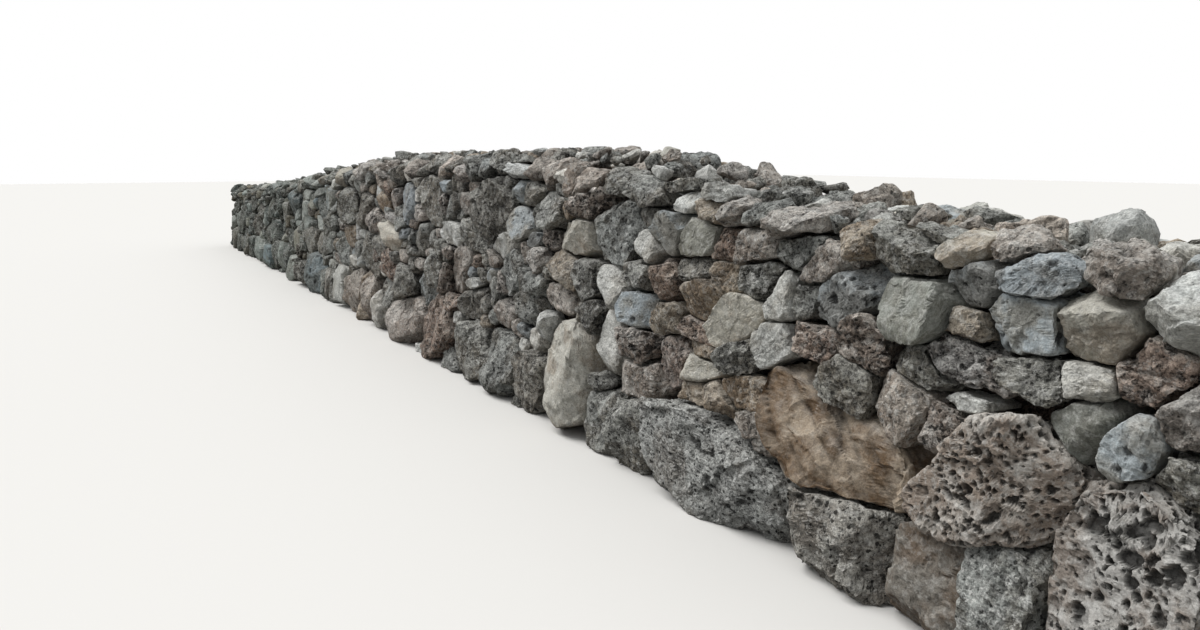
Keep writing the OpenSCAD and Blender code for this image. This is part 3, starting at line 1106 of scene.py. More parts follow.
@dataclass
class TopFill(Course):
    """Loose stones between the two edges of the top, many of them small."""

    step: float = 0.02  # Distance between the points of the ground that the ovals are fitted on
    inside: float = 0.02  # How far that ground ends inside the faces
    large: Span = (0.065, 0.125)  # Mean half axis of a large stone
    small: Span = (0.028, 0.052)  # Mean half axis of a small stone
    small_share: float = 0.62  # Share of small stones
    sunk: float = 0.035  # How much deeper the small stones lie
    uneven: Span = (-0.03, 0.04)  # How far a stone's top lies below the heap
    spare: Span = (0.0, 0.04)  # How far a stone's top stays below the wall's highest place
    thick: float = 0.11  # Most half height of a stone
    tilt: float = 0.22  # How far a stone's bed is tilted at random
    roll: float = 0.35  # How far the way that a stone faces is turned from straight up
    turn: float = 0.25  # How far a listed stone is turned at random, in radians
    full: Span = (1.15, 1.4)  # How far a stone fills out beyond its oval
    block: Span = (1.6, 1.9)  # How boxlike a stone is, at most and at least
    brow: float = 0.02  # How far the crests lie above the tops

    def lay(self, edges: list[Stone]) -> list[Stone]:
        """Lays the stones between the edge stones.

        Args:
            edges: The edge stones of both sides.

        Returns:
            The stones between them.
        """
        chosen = [self.chosen(stone) for stone in LOOSE]
        around = edges + chosen
        given = Ovals(
            np.array([stone.middle[:2] for stone in around]),
            np.array([stone.body[:2, :2] for stone in around]),
        )
        wide = float(self.form.half_width(self.form.top(self.form.stations).min()))
        ground = grid_points((self.form.low[0], -wide), (self.form.high[0], wide), self.step)
        half_width = self.form.half_width(self.form.top(ground[:, 0]))
        ground = ground[np.abs(ground[:, 1]) < half_width - self.inside]
        filled = OvalFit(self.chance, self.wanted, rounds=7).fit(ground, given)
        return chosen + [self.one(middle, spread) for middle, spread in zip(filled.middles, filled.spreads)]

    def wanted(self, points: Array) -> Array:
        """Draws the wanted mean half axis of a stone at each point.

        Args:
            points: The points, as x and y.

        Returns:
            The mean half axes.
        """
        large = self.chance.uniform(*self.large, len(points))
        small = self.chance.uniform(*self.small, len(points))
        return np.where(self.chance.uniform(0, 1, len(points)) < self.small_share, small, large)

    def loosely(self, stone: Stone) -> Stone:
        """Lets a stone fill the room that it finds, with a face turned anywhere near up.

        Args:
            stone: The stone, which is changed.

        Returns:
            The same stone.
        """
        stone.full = self.chance.uniform(*self.full)
        stone.block = self.chance.uniform(*self.block)
        stone.outward = unit(UP + self.chance.normal(0, self.roll, 3))
        return stone

    def chosen(self, loose: Loose) -> Stone:
        """Makes a listed stone.

        Args:
            loose: The choice.

        Returns:
            The stone.
        """
        turn = self.chance.normal(0, self.turn)
        cos, sin = math.cos(turn), math.sin(turn)
        axes = np.array([[cos, -sin, 0], [sin, cos, 0], [0, 0, 1]])
        half = np.array([loose.end - loose.begin, loose.deep, loose.tall]) / 2
        x = self.along((loose.begin + loose.end) / 2)
        place = np.array([x, loose.across, loose.high - loose.tall / 2])
        stone = self.loosely(Stone(self.form.top_node(x), place, axes, half, UP, loose.kind))
        stone.full = 1.1
        stone.crest = loose.high + self.brow
        return stone

    def one(self, middle: Array, spread: Array) -> Stone:
        """Makes one stone from its oval. A small one lies deeper than a large one.

        Args:
            middle: The oval's middle, as x and y.
            spread: The oval's spread.

        Returns:
            The stone.
        """
        values, vectors = np.linalg.eigh(spread)
        half = np.sqrt(np.array([values[1], values[0], 0]))
        half[2] = min(self.chance.uniform(0.8, 1.2) * half[1], self.thick)
        x, y = middle
        small = min(max((0.075 - half[:2].mean()) / 0.03, 0.0), 1.0)
        high = float(self.form.crown(x, y)) - self.chance.uniform(*self.uneven) - self.sunk * small
        high = min(high, float(self.form.high[2]) - self.chance.uniform(*self.spare))
        place = np.array([x, y, high - half[2]])
        long = vectors[0, 1] * X_AXIS + vectors[1, 1] * Y_AXIS
        tilt = unit(UP + self.chance.normal(0, self.tilt, 3))
        long = long - tilt * (long @ tilt)
        long = long / np.linalg.norm(long)
        axes = np.stack([long, np.cross(tilt, long), tilt], -1)
        kind = pick_kind(TOP_MIX, self.chance)
        return self.loosely(Stone(self.form.top_node(x), place, axes, half, UP, kind, crest=high + self.brow))


@dataclass
class EndFill(Course):
    """Hearting stones that show where the wall is cut square at its ends."""

    step: float = 0.02  # Distance between the points of the ground that the ovals are fitted on
    above: float = 0.06  # How far that ground reaches above the bed of the top stones
    inside: float = 0.01  # How far that ground ends inside the faces
    behind: float = 0.05  # Depth of the plane at which the other stones are cut
    reached: float = 0.15  # Least share of an oval's spread that counts as cut
    depth: float = 0.09  # Half the depth of a stone
    uneven: Span = (-0.02, 0.03)  # How far a stone lies deeper than flush
    size: Span = (0.04, 0.1)  # Mean half axis of a stone
    fine: float = 0.4  # How fine its surface is

    def sections(self, stones: list[Stone], x: float) -> Ovals:
        """Finds where stones are cut by the plane across the wall at x.

        An oval body B cut at a distance d from its middle leaves the oval of B's other axes, less what leans
        along X, times 1 - d^2 / Bxx.

        Args:
            stones: The stones.
            x: Place of the plane.

        Returns:
            The cut ovals, in y and z.
        """
        middles, spreads = [], []
        for stone in stones:
            body = stone.body
            away = x - stone.middle[0]
            left = 1 - away**2 / body[0, 0]
            if left > self.reached:
                lean = body[1:, 0] / body[0, 0]
                middles.append(stone.middle[1:] + lean * away)
                spreads.append((body[1:, 1:] - np.outer(lean, body[0, 1:])) * left)
        return Ovals(np.array(middles), np.array(spreads))

    def lay(self, end: int, around: list[Stone]) -> list[Stone]:
        """Lays the stones of one end, between those that reach it.

        Args:
            end: 1 for the +X end and -1 for the -X end.
            around: The other stones.

        Returns:
            The stones of the end.
        """
        x = self.form.high[0] if end > 0 else self.form.low[0]
        bed = float(self.form.bed(x)) + self.above
        wide = self.form.foot
        ground = grid_points((-wide, 0.0), (wide, bed), self.step)
        ground = ground[np.abs(ground[:, 0]) < self.form.half_width(ground[:, 1]) - self.inside]
        cut = self.sections(around, x - self.behind * end)
        filled = OvalFit(self.chance, self.wanted).fit(ground, cut)
        node = f"bay_{self.form.bay(x)}_hearting"
        out = end * X_AXIS
        stones = []
        for (y, z), spread in zip(filled.middles, filled.spreads):
            values, vectors = np.linalg.eigh(spread)
            long = np.array([0.0, vectors[0, 1], vectors[1, 1]])
            axes = np.stack([long, np.cross(out, long), out], -1)
            half = np.array([math.sqrt(values[1]), math.sqrt(values[0]), self.depth])
            place = np.array([x - end * (self.depth + self.chance.uniform(*self.uneven)), y, z])
            kind = pick_kind(FACE_MIX, self.chance)
            stones.append(Stone(node, place, axes, half, out, kind, fine=self.fine))
        return stones

    def wanted(self, points: Array) -> Array:
        """Wanted mean half axis of a stone at each point."""
        return self.chance.uniform(*self.size, len(points))


# Shaping the stones


@dataclass
class Planes:
    """Planes that bound each stone: their normals, and their distances from the stone's middle."""

    normals: Array
    reaches: Array


@dataclass
class Bodies:
    """What is known of all the stones, as whole arrays with a row for each stone."""

    middle: Array
    axes: Array
    half: Array
    outward: Array
    block: Array
    full: Array
    crest: Array

    @classmethod
    def of(cls, stones: list[Stone]) -> Bodies:
        """Gathers the bodies of the stones."""
        names = ("middle", "axes", "half", "outward", "block", "full", "crest")
        return cls(*(np.array([getattr(stone, name) for stone in stones]) for name in names))

    def reach(self, which: Array, normals: Array) -> Array:
        """Reach r of stones along normals: r^block = the sum of (half axis times |normal|)^block.

        Args:
            which: Indices of the stones.
            normals: A normal for each.

        Returns:
            The reach of each.
        """
        block = self.block[which]
        parts = np.abs(np.einsum("pji,pj->pi", self.axes[which], normals)) * self.half[which]
        return (parts ** block[:, None]).sum(-1) ** (1 / block)


def on_ball(polar: Array, turn: Array) -> Array:
    """Directions at the given angles from the pole and turns round it."""
    return np.stack([np.sin(polar) * np.cos(turn), np.sin(polar) * np.sin(turn), np.cos(polar)], -1)


@dataclass
class Mason:
    """Dresses the stones: parts neighbours, gives each its flat places and says how fine its surface is."""

    form: WallForm  # The wall's form
    camera: Array  # Where the wall is mostly seen from
    chance: Chance  # The source of chance
    joint: Span = (0.002, 0.017)  # Width of a joint between neighbours
    near: float = 1.25  # Stones nearer than this share of both their greatest halves are neighbours
    rounds: int = 12  # How often the planes between neighbours are turned
    # Least distance of such a plane from a stone's middle, as a share of the stone's reach
    least: float = 0.4
    most: float = 1.5  # A plane further away than this share of the reach is left out
    facets: int = 11  # Number of flat places that a stone has of its own
    facet: Span = (0.82, 1.14)  # Distance of a flat place, as a share of the reach
    flatter: float = 0.25  # How much nearer the flat places are at most where the stone is seen
    face: Span = (0.74, 0.98)  # Distance of a stone's outer face, as a share of the reach
    # How far the normals of flat places, outer faces and crests are turned at random
    wobble: tuple[float, float, float] = (0.12, 0.2, 0.22)
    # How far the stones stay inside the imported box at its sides, for -X, +X, -Y, +Y, -Z and +Z
    margins: tuple[float, ...] = (0.012, 0.012, 0.004, 0.004, 0.0, 0.004)
    spacing: float = 0.0027  # Distance between surface points for each metre from the camera
    spacing_range: Span = (0.0071, 0.032)  # Distance between surface points
    # Least distance between surface points on a stone that is turned away from the camera
    unseen: float = 0.034
    sheet_range: tuple[int, int] = (8, 170)  # Least and most points along a stone's sheet

    def part(self, stones: list[Stone]) -> Planes:
        """Finds the planes between neighbours, each stone's own flat places and crest, and the wall's limits.

        Args:
            stones: All the stones.

        Returns:
            The planes of each stone.
        """
        bodies = Bodies.of(stones)
        owner, normals, reaches = self.between(bodies)
        counts = np.bincount(owner, minlength=len(stones))
        place = np.arange(len(owner)) - np.repeat(np.cumsum(counts) - counts, counts)
        most = int(counts.max())
        total = most + self.facets + 2 + len(self.margins)
        planes = Planes(np.zeros((len(stones), total, 3)), np.full((len(stones), total), NOWHERE))
        planes.normals[..., 2] = 1.0
        planes.normals[owner, place] = normals
        planes.reaches[owner, place] = reaches
        self.add_facets(bodies, planes, most)
        self.add_limits(bodies, planes)
        return planes

    def between(self, bodies: Bodies) -> tuple[Array, Array, Array]:
        """Finds the planes between neighbours.

        The plane between two ovals has the normal n for which the gap between them is widest, as a share of
        their reaches along n. It is found by turning n, in rounds, towards M^-1 d, where d joins the middles
        and M sums their spreads over their reaches. The plane divides d in the ratio of the reaches.

        Args:
            bodies: The stones' bodies.

        Returns:
            For each plane, the stone that it bounds, its normal and its distance from the stone's middle, in
            the order of the stones.
        """
        spreads = (bodies.axes * bodies.half[:, None, :] ** 2) @ bodies.axes.transpose(0, 2, 1)
        size = bodies.half.max(1)
        away = np.linalg.norm(bodies.middle[:, None] - bodies.middle[None], axis=-1)
        first, second = np.nonzero(np.triu(away < self.near * (size[:, None] + size[None]), 1))
        line = bodies.middle[second] - bodies.middle[first]
        normal = normed(line)
        for _ in range(self.rounds):
            reach_a = np.sqrt(np.einsum("pi,pij,pj->p", normal, spreads[first], normal))
            reach_b = np.sqrt(np.einsum("pi,pij,pj->p", normal, spreads[second], normal))
            mixed = spreads[first] / reach_a[:, None, None] + spreads[second] / reach_b[:, None, None]
            normal = normed(np.linalg.solve(mixed, line[..., None])[..., 0])
        reach_a, reach_b = bodies.reach(first, normal), bodies.reach(second, normal)
        apart = np.einsum("pi,pi->p", normal, line)
        joint = self.chance.uniform(*self.joint, len(first))
        share = reach_a / (reach_a + reach_b)
        to_a = np.maximum(apart * share - joint / 2, self.least * reach_a)
        to_b = np.maximum(apart * (1 - share) - joint / 2, self.least * reach_b)
        owner = np.concatenate([first, second])
        normals = np.concatenate([normal, -normal])
        reaches = np.concatenate([to_a, to_b])
        used = reaches < self.most * np.concatenate([reach_a, reach_b])
        order = np.argsort(owner[used], kind="stable")
        return owner[used][order], normals[used][order], reaches[used][order]

    def add_facets(self, bodies: Bodies, planes: Planes, start: int) -> None:
        """Adds each stone's own flat places and its outer face.

        The flat places look in evenly strewn directions that are turned at random. They lie near its oval's
        edge, and nearer to its middle where it is seen.

        Args:
            bodies: The stones' bodies.
            planes: The planes to add to.
            start: Index of the first free plane.
        """
        every = np.arange(len(bodies.middle))
        stop = start + self.facets
        facet_wobble, face_wobble, _ = self.wobble
        k = np.arange(self.facets) + 0.5
        ball = on_ball(np.arccos(1 - 2 * k / self.facets), math.pi * (1 + math.sqrt(5)) * k)
        spins = np.linalg.qr(self.chance.normal(size=(len(every), 3, 3)))[0]
        normals = ball[None] @ spins + self.chance.normal(0, facet_wobble, (len(every), self.facets, 3))
        normals = normed(normals)
        reach = np.stack([bodies.reach(every, normals[:, k]) for k in range(self.facets)], -1)
        seen = np.maximum(np.einsum("nki,ni->nk", normals, bodies.outward), 0)
        share = self.chance.uniform(*self.facet, reach.shape)
        share = share - self.flatter * seen * self.chance.uniform(0, 1, reach.shape)
        planes.normals[:, start:stop] = normals
        planes.reaches[:, start:stop] = reach * bodies.full[:, None] * share
        out = bodies.outward + self.chance.normal(0, face_wobble, (len(every), 3))
        out = normed(out)
        planes.normals[:, stop] = out
        planes.reaches[:, stop] = bodies.reach(every, out) * self.chance.uniform(*self.face, len(every))

    def add_limits(self, bodies: Bodies, planes: Planes) -> None:
        """Adds each stone's crest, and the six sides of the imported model's box as planes, a little inside it.

        Args:
            bodies: The stones' bodies.
            planes: The planes to add to. The last seven are free.
        """
        slope = UP + self.chance.normal(0, self.wobble[2], bodies.middle.shape)
        first = planes.normals.shape[1] - len(self.margins)
        planes.normals[:, first - 1] = normed(slope)
        planes.reaches[:, first - 1] = np.maximum(bodies.crest - bodies.middle[:, 2], 0.02)
        for k, margin in enumerate(self.margins):
            axis, sign = k // 2, 2 * (k % 2) - 1
            edge = (self.form.high if sign > 0 else self.form.low)[axis]
            planes.normals[:, first + k] = sign * np.eye(3)[axis]
            planes.reaches[:, first + k] = np.maximum(sign * (edge - bodies.middle[:, axis]) - margin, 0.01)

    def count_for(self, stone: Stone) -> tuple[int, float]:
        """Chooses how fine a stone's surface is, from its size, how near it is and how it is turned.

        Args:
            stone: The stone.

        Returns:
            The odd number of points along its sheet, and the distance between points.
        """
        far = float(np.linalg.norm(stone.middle - self.camera))
        low, high = self.spacing_range
        spacing = min(max(self.spacing * far, low), high) / stone.fine
        turned = stone.outward @ (self.camera - stone.middle)
        if turned < 0 and stone.outward[2] < 0.5 or turned < -0.35 * far:
            spacing = max(spacing, self.unseen)
        across = 2.7 * float(np.sort(stone.half)[1:].mean())
        least, most = self.sheet_range
        return min(max(int(round(across / spacing)), least), most) // 2 * 2 + 1, spacing


SHEETS: dict[int, tuple[Array, Array, Array]] = {}


def wrapped_sheet(count: int) -> tuple[Array, Array, Array]:
    """Directions from a square sheet wrapped round a ball, and the faces between them.

    A square ring of the sheet is a circle round the outer pole. Its angle from the pole grows evenly with the
    ring's size up to 68 degrees, then faster to 160 degrees at the sheet's edge, and a fan closes the rest.
    Sheets are kept for the next stone of the same fineness.

    Args:
        count: Number of points along each side of the sheet.

    Returns:
        The directions with the back pole last, the sheet's four-sided faces and the fan's triangles.
    """
    if count in SHEETS:
        return SHEETS[count]
    side = np.linspace(-1, 1, count)
    a, b = np.meshgrid(side, side, indexing="ij")
    ring = np.maximum(np.abs(a), np.abs(b))
    turn = np.where(
        np.abs(a) >= np.abs(b),
        math.pi / 4 * b / np.where(a == 0, 1, a) + math.pi * (a < 0),
        math.pi / 2 - math.pi / 4 * a / np.where(b == 0, 1, b) + math.pi * (b < 0),
    )
    ball = on_ball(np.radians(np.interp(ring, [0, 0.78, 0.92, 1], [0, 68, 105, 160])), turn).reshape(-1, 3)
    ball = np.concatenate([ball, -UP[None]])
    index = np.arange(count * count).reshape(count, count)
    quads = np.stack([index[:-1, :-1], index[1:, :-1], index[1:, 1:], index[:-1, 1:]], -1).reshape(-1, 4)
    rim = np.concatenate([index[:-1, 0], index[-1, :-1], index[:0:-1, -1], index[0, :0:-1]])
    fan = np.stack([np.roll(rim, -1), rim, np.full(len(rim), count * count)], -1)
    SHEETS[count] = ball, quads, fan
    return SHEETS[count]


def normed(rows: Array) -> Array:
    """The same vectors with a length of 1."""
    return rows / np.linalg.norm(rows, axis=-1, keepdims=True)


def linear(colour: str) -> Array:
    """Linear red, green and blue of an sRGB hex colour."""
    parts = np.array([int(colour[k : k + 2], 16) for k in (1, 3, 5)]) / 255
    return np.where(parts <= 0.04045, parts / 12.92, ((parts + 0.055) / 1.055) ** 2.4)


@dataclass
class Surface:
    """Points, faces and marks of a joined mesh."""

    points: list[Array] = field(default_factory=list)
    quads: list[Array] = field(default_factory=list)
    triangles: list[Array] = field(default_factory=list)
    base: list[Array] = field(default_factory=list)
    stain: list[Array] = field(default_factory=list)
    marks: list[Array] = field(default_factory=list)
    size: int = 0

    def add(
        self,
        points: Array,
        quads: Array,
        triangles: Array,
        base: list[float],
        stain: list[float],
        marks: Array,
    ) -> None:
        """Adds one stone's surface.

        Args:
            points: Its points.
            quads: Its four-sided faces.
            triangles: Its triangles.
            base: Its main colour, and its share of pale lichen.
            stain: Its stained colour, and how rough it is.
            marks: For each point, the painted shade of its hollows, the share of stain, a place that to_object
                fills with how far the surface looks up, and the strength of the pits.
        """
        self.quads.append(quads + self.size)
        self.triangles.append(triangles + self.size)
        self.points.append(points)
        self.base.append(np.broadcast_to(base, (len(points), 4)))
        self.stain.append(np.broadcast_to(stain, (len(points), 4)))
        self.marks.append(marks)
        self.size += len(points)

    def triangle_count(self) -> int:
        """Number of triangles once each four-sided face is two."""
        return 2 * sum(len(q) for q in self.quads) + sum(len(t) for t in self.triangles)

    def to_object(self, name: str, material: bpy.types.Material) -> bpy.types.Object:
        """Makes the mesh and its object.

        Args:
            name: Name of the piece.
            material: Its finish.

        Returns:
            The object, linked to the scene.
        """
        points, quads, triangles, marks = (
            np.concatenate(parts) for parts in (self.points, self.quads, self.triangles, self.marks)
        )
        corners = np.concatenate([quads.ravel(), triangles.ravel()])
        starts = np.concatenate([np.arange(len(quads)) * 4, quads.size + np.arange(len(triangles)) * 3])
        mesh = bpy.data.meshes.new(name)
        mesh.vertices.add(len(points))
        mesh.vertices.foreach_set("co", points.astype(np.float32).ravel())
        mesh.loops.add(len(corners))
        mesh.loops.foreach_set("vertex_index", corners.astype(np.int32))
        mesh.polygons.add(len(starts))
        mesh.polygons.foreach_set("loop_start", starts.astype(np.int32))
        mesh.polygons.foreach_set("use_smooth", np.zeros(len(starts), dtype=bool))
        mesh.update(calc_edges=True)
        normals = np.empty(points.size, dtype=np.float32)
        mesh.vertex_normals.foreach_get("vector", normals)
        # How far the surface looks up, which the finish uses to paint upward sides paler as light from above
        marks[:, 2] = 0.5 + 0.5 * normals[2::3]
        colours = {"base": np.concatenate(self.base), "stain": np.concatenate(self.stain), "marks": marks}
        for label, values in colours.items():
            layer = mesh.color_attributes.new(label, "FLOAT_COLOR", "POINT")
            layer.data.foreach_set("color", values.astype(np.float32).ravel())
        mesh.materials.append(material)
        piece = bpy.data.objects.new(name, mesh)
        bpy.context.scene.collection.objects.link(piece)
        return piece


@dataclass
class Relief:
    """The relief of one stone's surface, taken off it layer by layer."""

    kind: Limestone  # What the stone is made of
    size: float  # Its mean half size
    places: Array  # Places on its plain surface, shifted so that no two stones have the same relief
    spacing: float  # Distance between them. Finer noise is left out.
    even: Array  # Strength of the finest relief at each place, less where the sheet is stretched
    seed: int  # Chooses the noise
    taken: Array = field(init=False)  # The depth taken off at each place
    painted_hollow_shade: Array = field(init=False)  # Painted shade at each place, darkest in its hollows, grooves, pits and holes

    def __post_init__(self) -> None:
        """Takes off every layer that the kind has."""
        self.taken = np.zeros(len(self.places))
        self.painted_hollow_shade = np.zeros(len(self.places))
        self.lump()
        broad = self.taken.copy()
        self.groove()
        self.chip()
        fine = self.taken - broad
        # Painted shade in the lows of the fine relief, less on its crests, stronger where the points are far
        # apart
        fine_relief_shade = 0.10 + 0.10 * self.coarser(0.007, 0.005)
        self.painted_hollow_shade += fine_relief_shade * self.kind.rough * np.clip(fine / (fine.std() + 1e-4), -1, 2)
        if self.kind.pitted > 0.25 and self.spacing < 0.009:
            self.pit()
        if self.kind.combed > 0:
            self.comb()
        if self.kind.streaked > 0:
            self.streak()

    def coarser(self, start: float, span: float) -> float:
        """How far the spacing has gone through a span beyond its start, from 0 to 1."""
        return min(max((self.spacing - start) / span, 0), 1)

    def lump(self) -> None:
        """Gives the stone broad lumps, and a few broad hollows as wide as itself."""
        size, rough = self.size, self.kind.rough
        self.taken += 0.07 * size * smooth_noise(self.places, size, self.seed)
        self.taken += (0.02 + 0.05 * rough) * size * smooth_noise(self.places, 0.5 * size, self.seed + 3)
        self.taken += 0.08 * size * np.sqrt(pits(self.places, 0.9 * size, 0.35, self.seed + 50))

    def groove(self) -> None:
        """Cuts grooves where noise crosses 0 and paints shade along them, finer ones only where the points are
        close enough.
        """
        for width, depth in ((0.05, 0.005), (0.026, 0.004), (0.014, 0.003)):
            if width > 2.2 * self.spacing:
                ridge = np.abs(smooth_noise(self.places, width, self.seed + 1))
                self.taken += depth * (1 - 2 * ridge) * (0.15 + 1.1 * self.kind.rough) * self.even
                self.painted_hollow_shade += 1.2 * self.kind.rough * np.clip(0.2 - ridge, 0, 1) * self.even

    def chip(self) -> None:
        """Breaks the surface into flat chips of three sizes, two that go with the stone's and a small one."""
        warped = self.places + 0.01 * smooth_noises(self.places, 0.03, self.seed + 60)
        size, small = self.size, 0.035
        coarse = 0.45 + 0.55 * self.kind.rough
        for width, depth in (
            (0.9 * size, 0.10 * size * coarse),
            (0.45 * size, 0.045 * size * coarse),
            (small, 0.0045 * self.kind.rough),
        ):
            if width > 3 * self.spacing:
                even = self.even if width < 0.06 else 1
                self.taken += depth * chips(warped, width, self.seed + 70) * even

    def pit(self) -> None:
        """Sinks small round pits and paints shade in them."""
        warped = self.places + 0.004 * smooth_noises(self.places, 0.012, self.seed + 2)
        for width, depth in ((0.045, 0.010), (0.022, 0.006)):
            holes = np.clip(3 * pits(warped, width, 0.4 * self.kind.pitted, self.seed + 5), 0, 1)
            self.taken += depth * self.kind.pitted * holes
            self.painted_hollow_shade += 0.5 * holes * self.kind.pitted

    def comb(self) -> None:
        """Digs the wide, deep holes of a honeycombed stone, fewer in some places, and paints shade in them."""
        places, combed = self.places, self.kind.combed
        warped = places + 0.009 * smooth_noises(places, 0.032, self.seed + 10)
        warped += 0.003 * smooth_noises(places, 0.012, self.seed + 15)
        bare = 0.55 * np.clip(0.35 - 1.6 * smooth_noise(places, 0.15, self.seed + 14), 0, 1)
        dug = np.zeros(len(places))
        for width, share, depth in ((0.072, 0.13, 0.034), (0.041, 0.34, 0.023), (0.022, 0.40, 0.012)):
            holes = np.clip(3.5 * (pits(warped, width, combed * share, self.seed + 20) - bare), 0, 1)
            dug = np.maximum(dug, depth * holes)
            self.painted_hollow_shade += 1.3 * holes
            self.seed += 7
        self.taken += (0.4 + 0.6 * combed) * dug * (0.3 + 0.7 * self.even)
        self.taken += 0.009 * combed * smooth_noise(places, 0.085, self.seed + 18)

    def streak(self) -> None:
        """Cuts slanting grooves, from noise that is drawn out along them, and paints shade along them."""
        along = np.array([-0.62, 0.0, 0.78])
        drawn = self.places - 0.86 * (self.places @ along)[:, None] * along
        for width, depth in ((0.075, 0.010), (0.038, 0.004)):
            ridge = np.abs(smooth_noise(drawn, width, self.seed + 31))
            self.taken += self.kind.streaked * depth * (1 - 2 * ridge)
            self.painted_hollow_shade += 2.2 * self.kind.streaked * np.clip(0.22 - ridge, 0, 1) * self.even

    def marks(self, front: Array) -> Array:
        """Marks of the surface: the painted shade of its hollows, its stain and its pits.

        A stone whose points are far apart gets painted shade towards its rim, where the joints are shaded,
        instead of in small hollows.

        Args:
            front: How far each place lies before the stone's middle.

        Returns:
            The marks of each place, as Surface.add takes them.
        """
        # Painted shade towards the rim, where the joints between stones are shaded
        rim = np.clip(1.25 - 1.6 * front / max(float(front.max()), 0.01), 0, 1)
        painted_hollow_shade = self.painted_hollow_shade + 0.55 * self.coarser(0.009, 0.012) * rim**2
        stained = self.kind.stained + 0.3 * smooth_noise(self.places, 0.11, self.seed + 40)
        stained = np.clip(stained + 0.2 * smooth_noise(self.places, 0.27, self.seed + 41), 0, 1)
        pitted = np.full(len(front), self.kind.pitted)
        return np.stack([np.clip(painted_hollow_shade, 0, 1), stained, np.zeros(len(front)), pitted], -1)


@dataclass
class Carver:
    """Wraps and roughens the surface of each stone."""

    mason: Mason  # Gives the fineness, the camera and the wall's form
    chance: Chance  # The source of chance
    edge: Span = (0.8, 1.3)  # Sharpness of a stone's edges, as a share of its kind's
    deepest: float = 0.6  # Most depth that is taken off, as a share of the distance from the middle
    warmth: float = 0.02  # How far the stones' tones differ between warm and cold
    # How far the tones of the stones differ, and of those that are finer than others
    tone: Span = (0.09, 0.03)
    crusted: Span = (0.6, 1.4)  # Of a stone's pale lichen, as a share of its kind's
    # Tint at full strength, as a share that is taken off red, green and blue
    tint_shares: tuple[float, float, float] = (0.50, 0.45, 0.47)
    # Distances from the near end, and the amount of tint there: below 0 paler, above 0 darker, which at the far
    # end is painted shade
    weathered_at: Curve = (
        (2.5, 3.5, 5.0, 7.5, 9.0, 11.0, 13.0),
        (0.0, -0.16, -0.18, -0.34, -0.05, 0.75, 1.0),
    )
    # Places across the wall, and the share of the tint there
    tint_across_wall: Curve = ((-0.4, 0.2), (1.0, 0.35))
    # Distances from the near end, and how rough stones look there beside their kind
    rougher_at: Curve = ((1.0, 2.2, 5.0), (0.85, 1.1, 1.2))

    def carve(self, stone: Stone, normals: Array, reaches: Array, surface: Surface) -> None:
        """Makes the surface of a stone.

        The distance of a surface point from the middle, in the direction u, is (sum of (n.u / h)^p)^(-1/p)
        over the planes with normals n and distances h. A large p keeps the edges sharp. The surface there
        faces the way of the sum of (n.u / h)^(p - 1) n / h, and noise and holes are taken off along that.

        Args:
            stone: The stone.
            normals: The normals of its planes.
            reaches: Their distances from its middle.
            surface: The mesh to add it to.
        """
        kind = stone.kind.value
        count, spacing = self.mason.count_for(stone)
        ball, quads, fan = wrapped_sheet(count)
        out = self.pole(stone)
        flat = stone.axes[:, 0] - out * (stone.axes[:, 0] @ out)
        flat /= np.linalg.norm(flat)
        turned = ball @ np.stack([flat, np.cross(out, flat), out])
        rays = normed(turned @ ((stone.axes * stone.half) @ stone.axes.T))
        sharp = kind.sharp * self.chance.uniform(*self.edge)
        pressed = np.maximum(rays @ normals.T, 0) / reaches
        scale = pressed.max(1, keepdims=True)
        pressed /= scale
        reach = (pressed**sharp).sum(1) ** (-1 / sharp) / scale[:, 0]
        outward = normed((pressed ** (sharp - 1) / reaches) @ normals)
        points = stone.middle + rays * reach[:, None]
        even = np.clip(0.35 + 1.3 * outward @ out, 0.3, 1)
        seed = int(self.chance.integers(1, 60000))
        places = points + self.chance.uniform(-50, 50, 3)
        relief = Relief(kind, float(stone.half.mean()), places, spacing, even, seed)
        marks = relief.marks((points - stone.middle) @ stone.outward)
        points = points - outward * np.minimum(relief.taken, self.deepest * reach)[:, None]
        points = np.clip(points, self.mason.form.low, self.mason.form.high)
        warm = self.chance.normal(0, self.warmth)
        tone = self.chance.normal(1, self.tone[stone.fine > 1])
        # The tint along the wall paints shade on the far end
        tint = np.array([1 + warm, 1, 1 - warm]) * tone * self.weathered(stone)
        base = [*(linear(kind.base) * tint), kind.crusted * self.chance.uniform(*self.crusted)]
        rough = kind.rough * float(np.interp(self.distance(stone), *self.rougher_at))
        surface.add(points, quads, fan, base, [*(linear(kind.stain) * tint), rough], marks)

    def distance(self, stone: Stone) -> float:
        """How far a stone lies from the near end."""
        return float(self.mason.form.high[0] - stone.middle[0])

    def weathered(self, stone: Stone) -> Array:
        """Tint of a stone by its place: paler past the middle, darker at the far end with painted shade, less
        behind.
        """
        amount = np.interp(self.distance(stone), *self.weathered_at)
        amount *= np.interp(stone.middle[1], *self.tint_across_wall)
        return 1 - np.array(self.tint_shares) * amount

    def pole(self, stone: Stone) -> Array:
        """Chooses where the finest part of a stone's surface is: outwards, and towards where it is seen from.

        Args:
            stone: The stone.

        Returns:
            The way from its middle to that part.
        """
        ahead = self.mason.camera - stone.middle
        ahead /= np.linalg.norm(ahead)
        out = stone.outward + (0.7 * ahead if stone.outward @ ahead > -0.35 else 0)
        return out / np.linalg.norm(out)


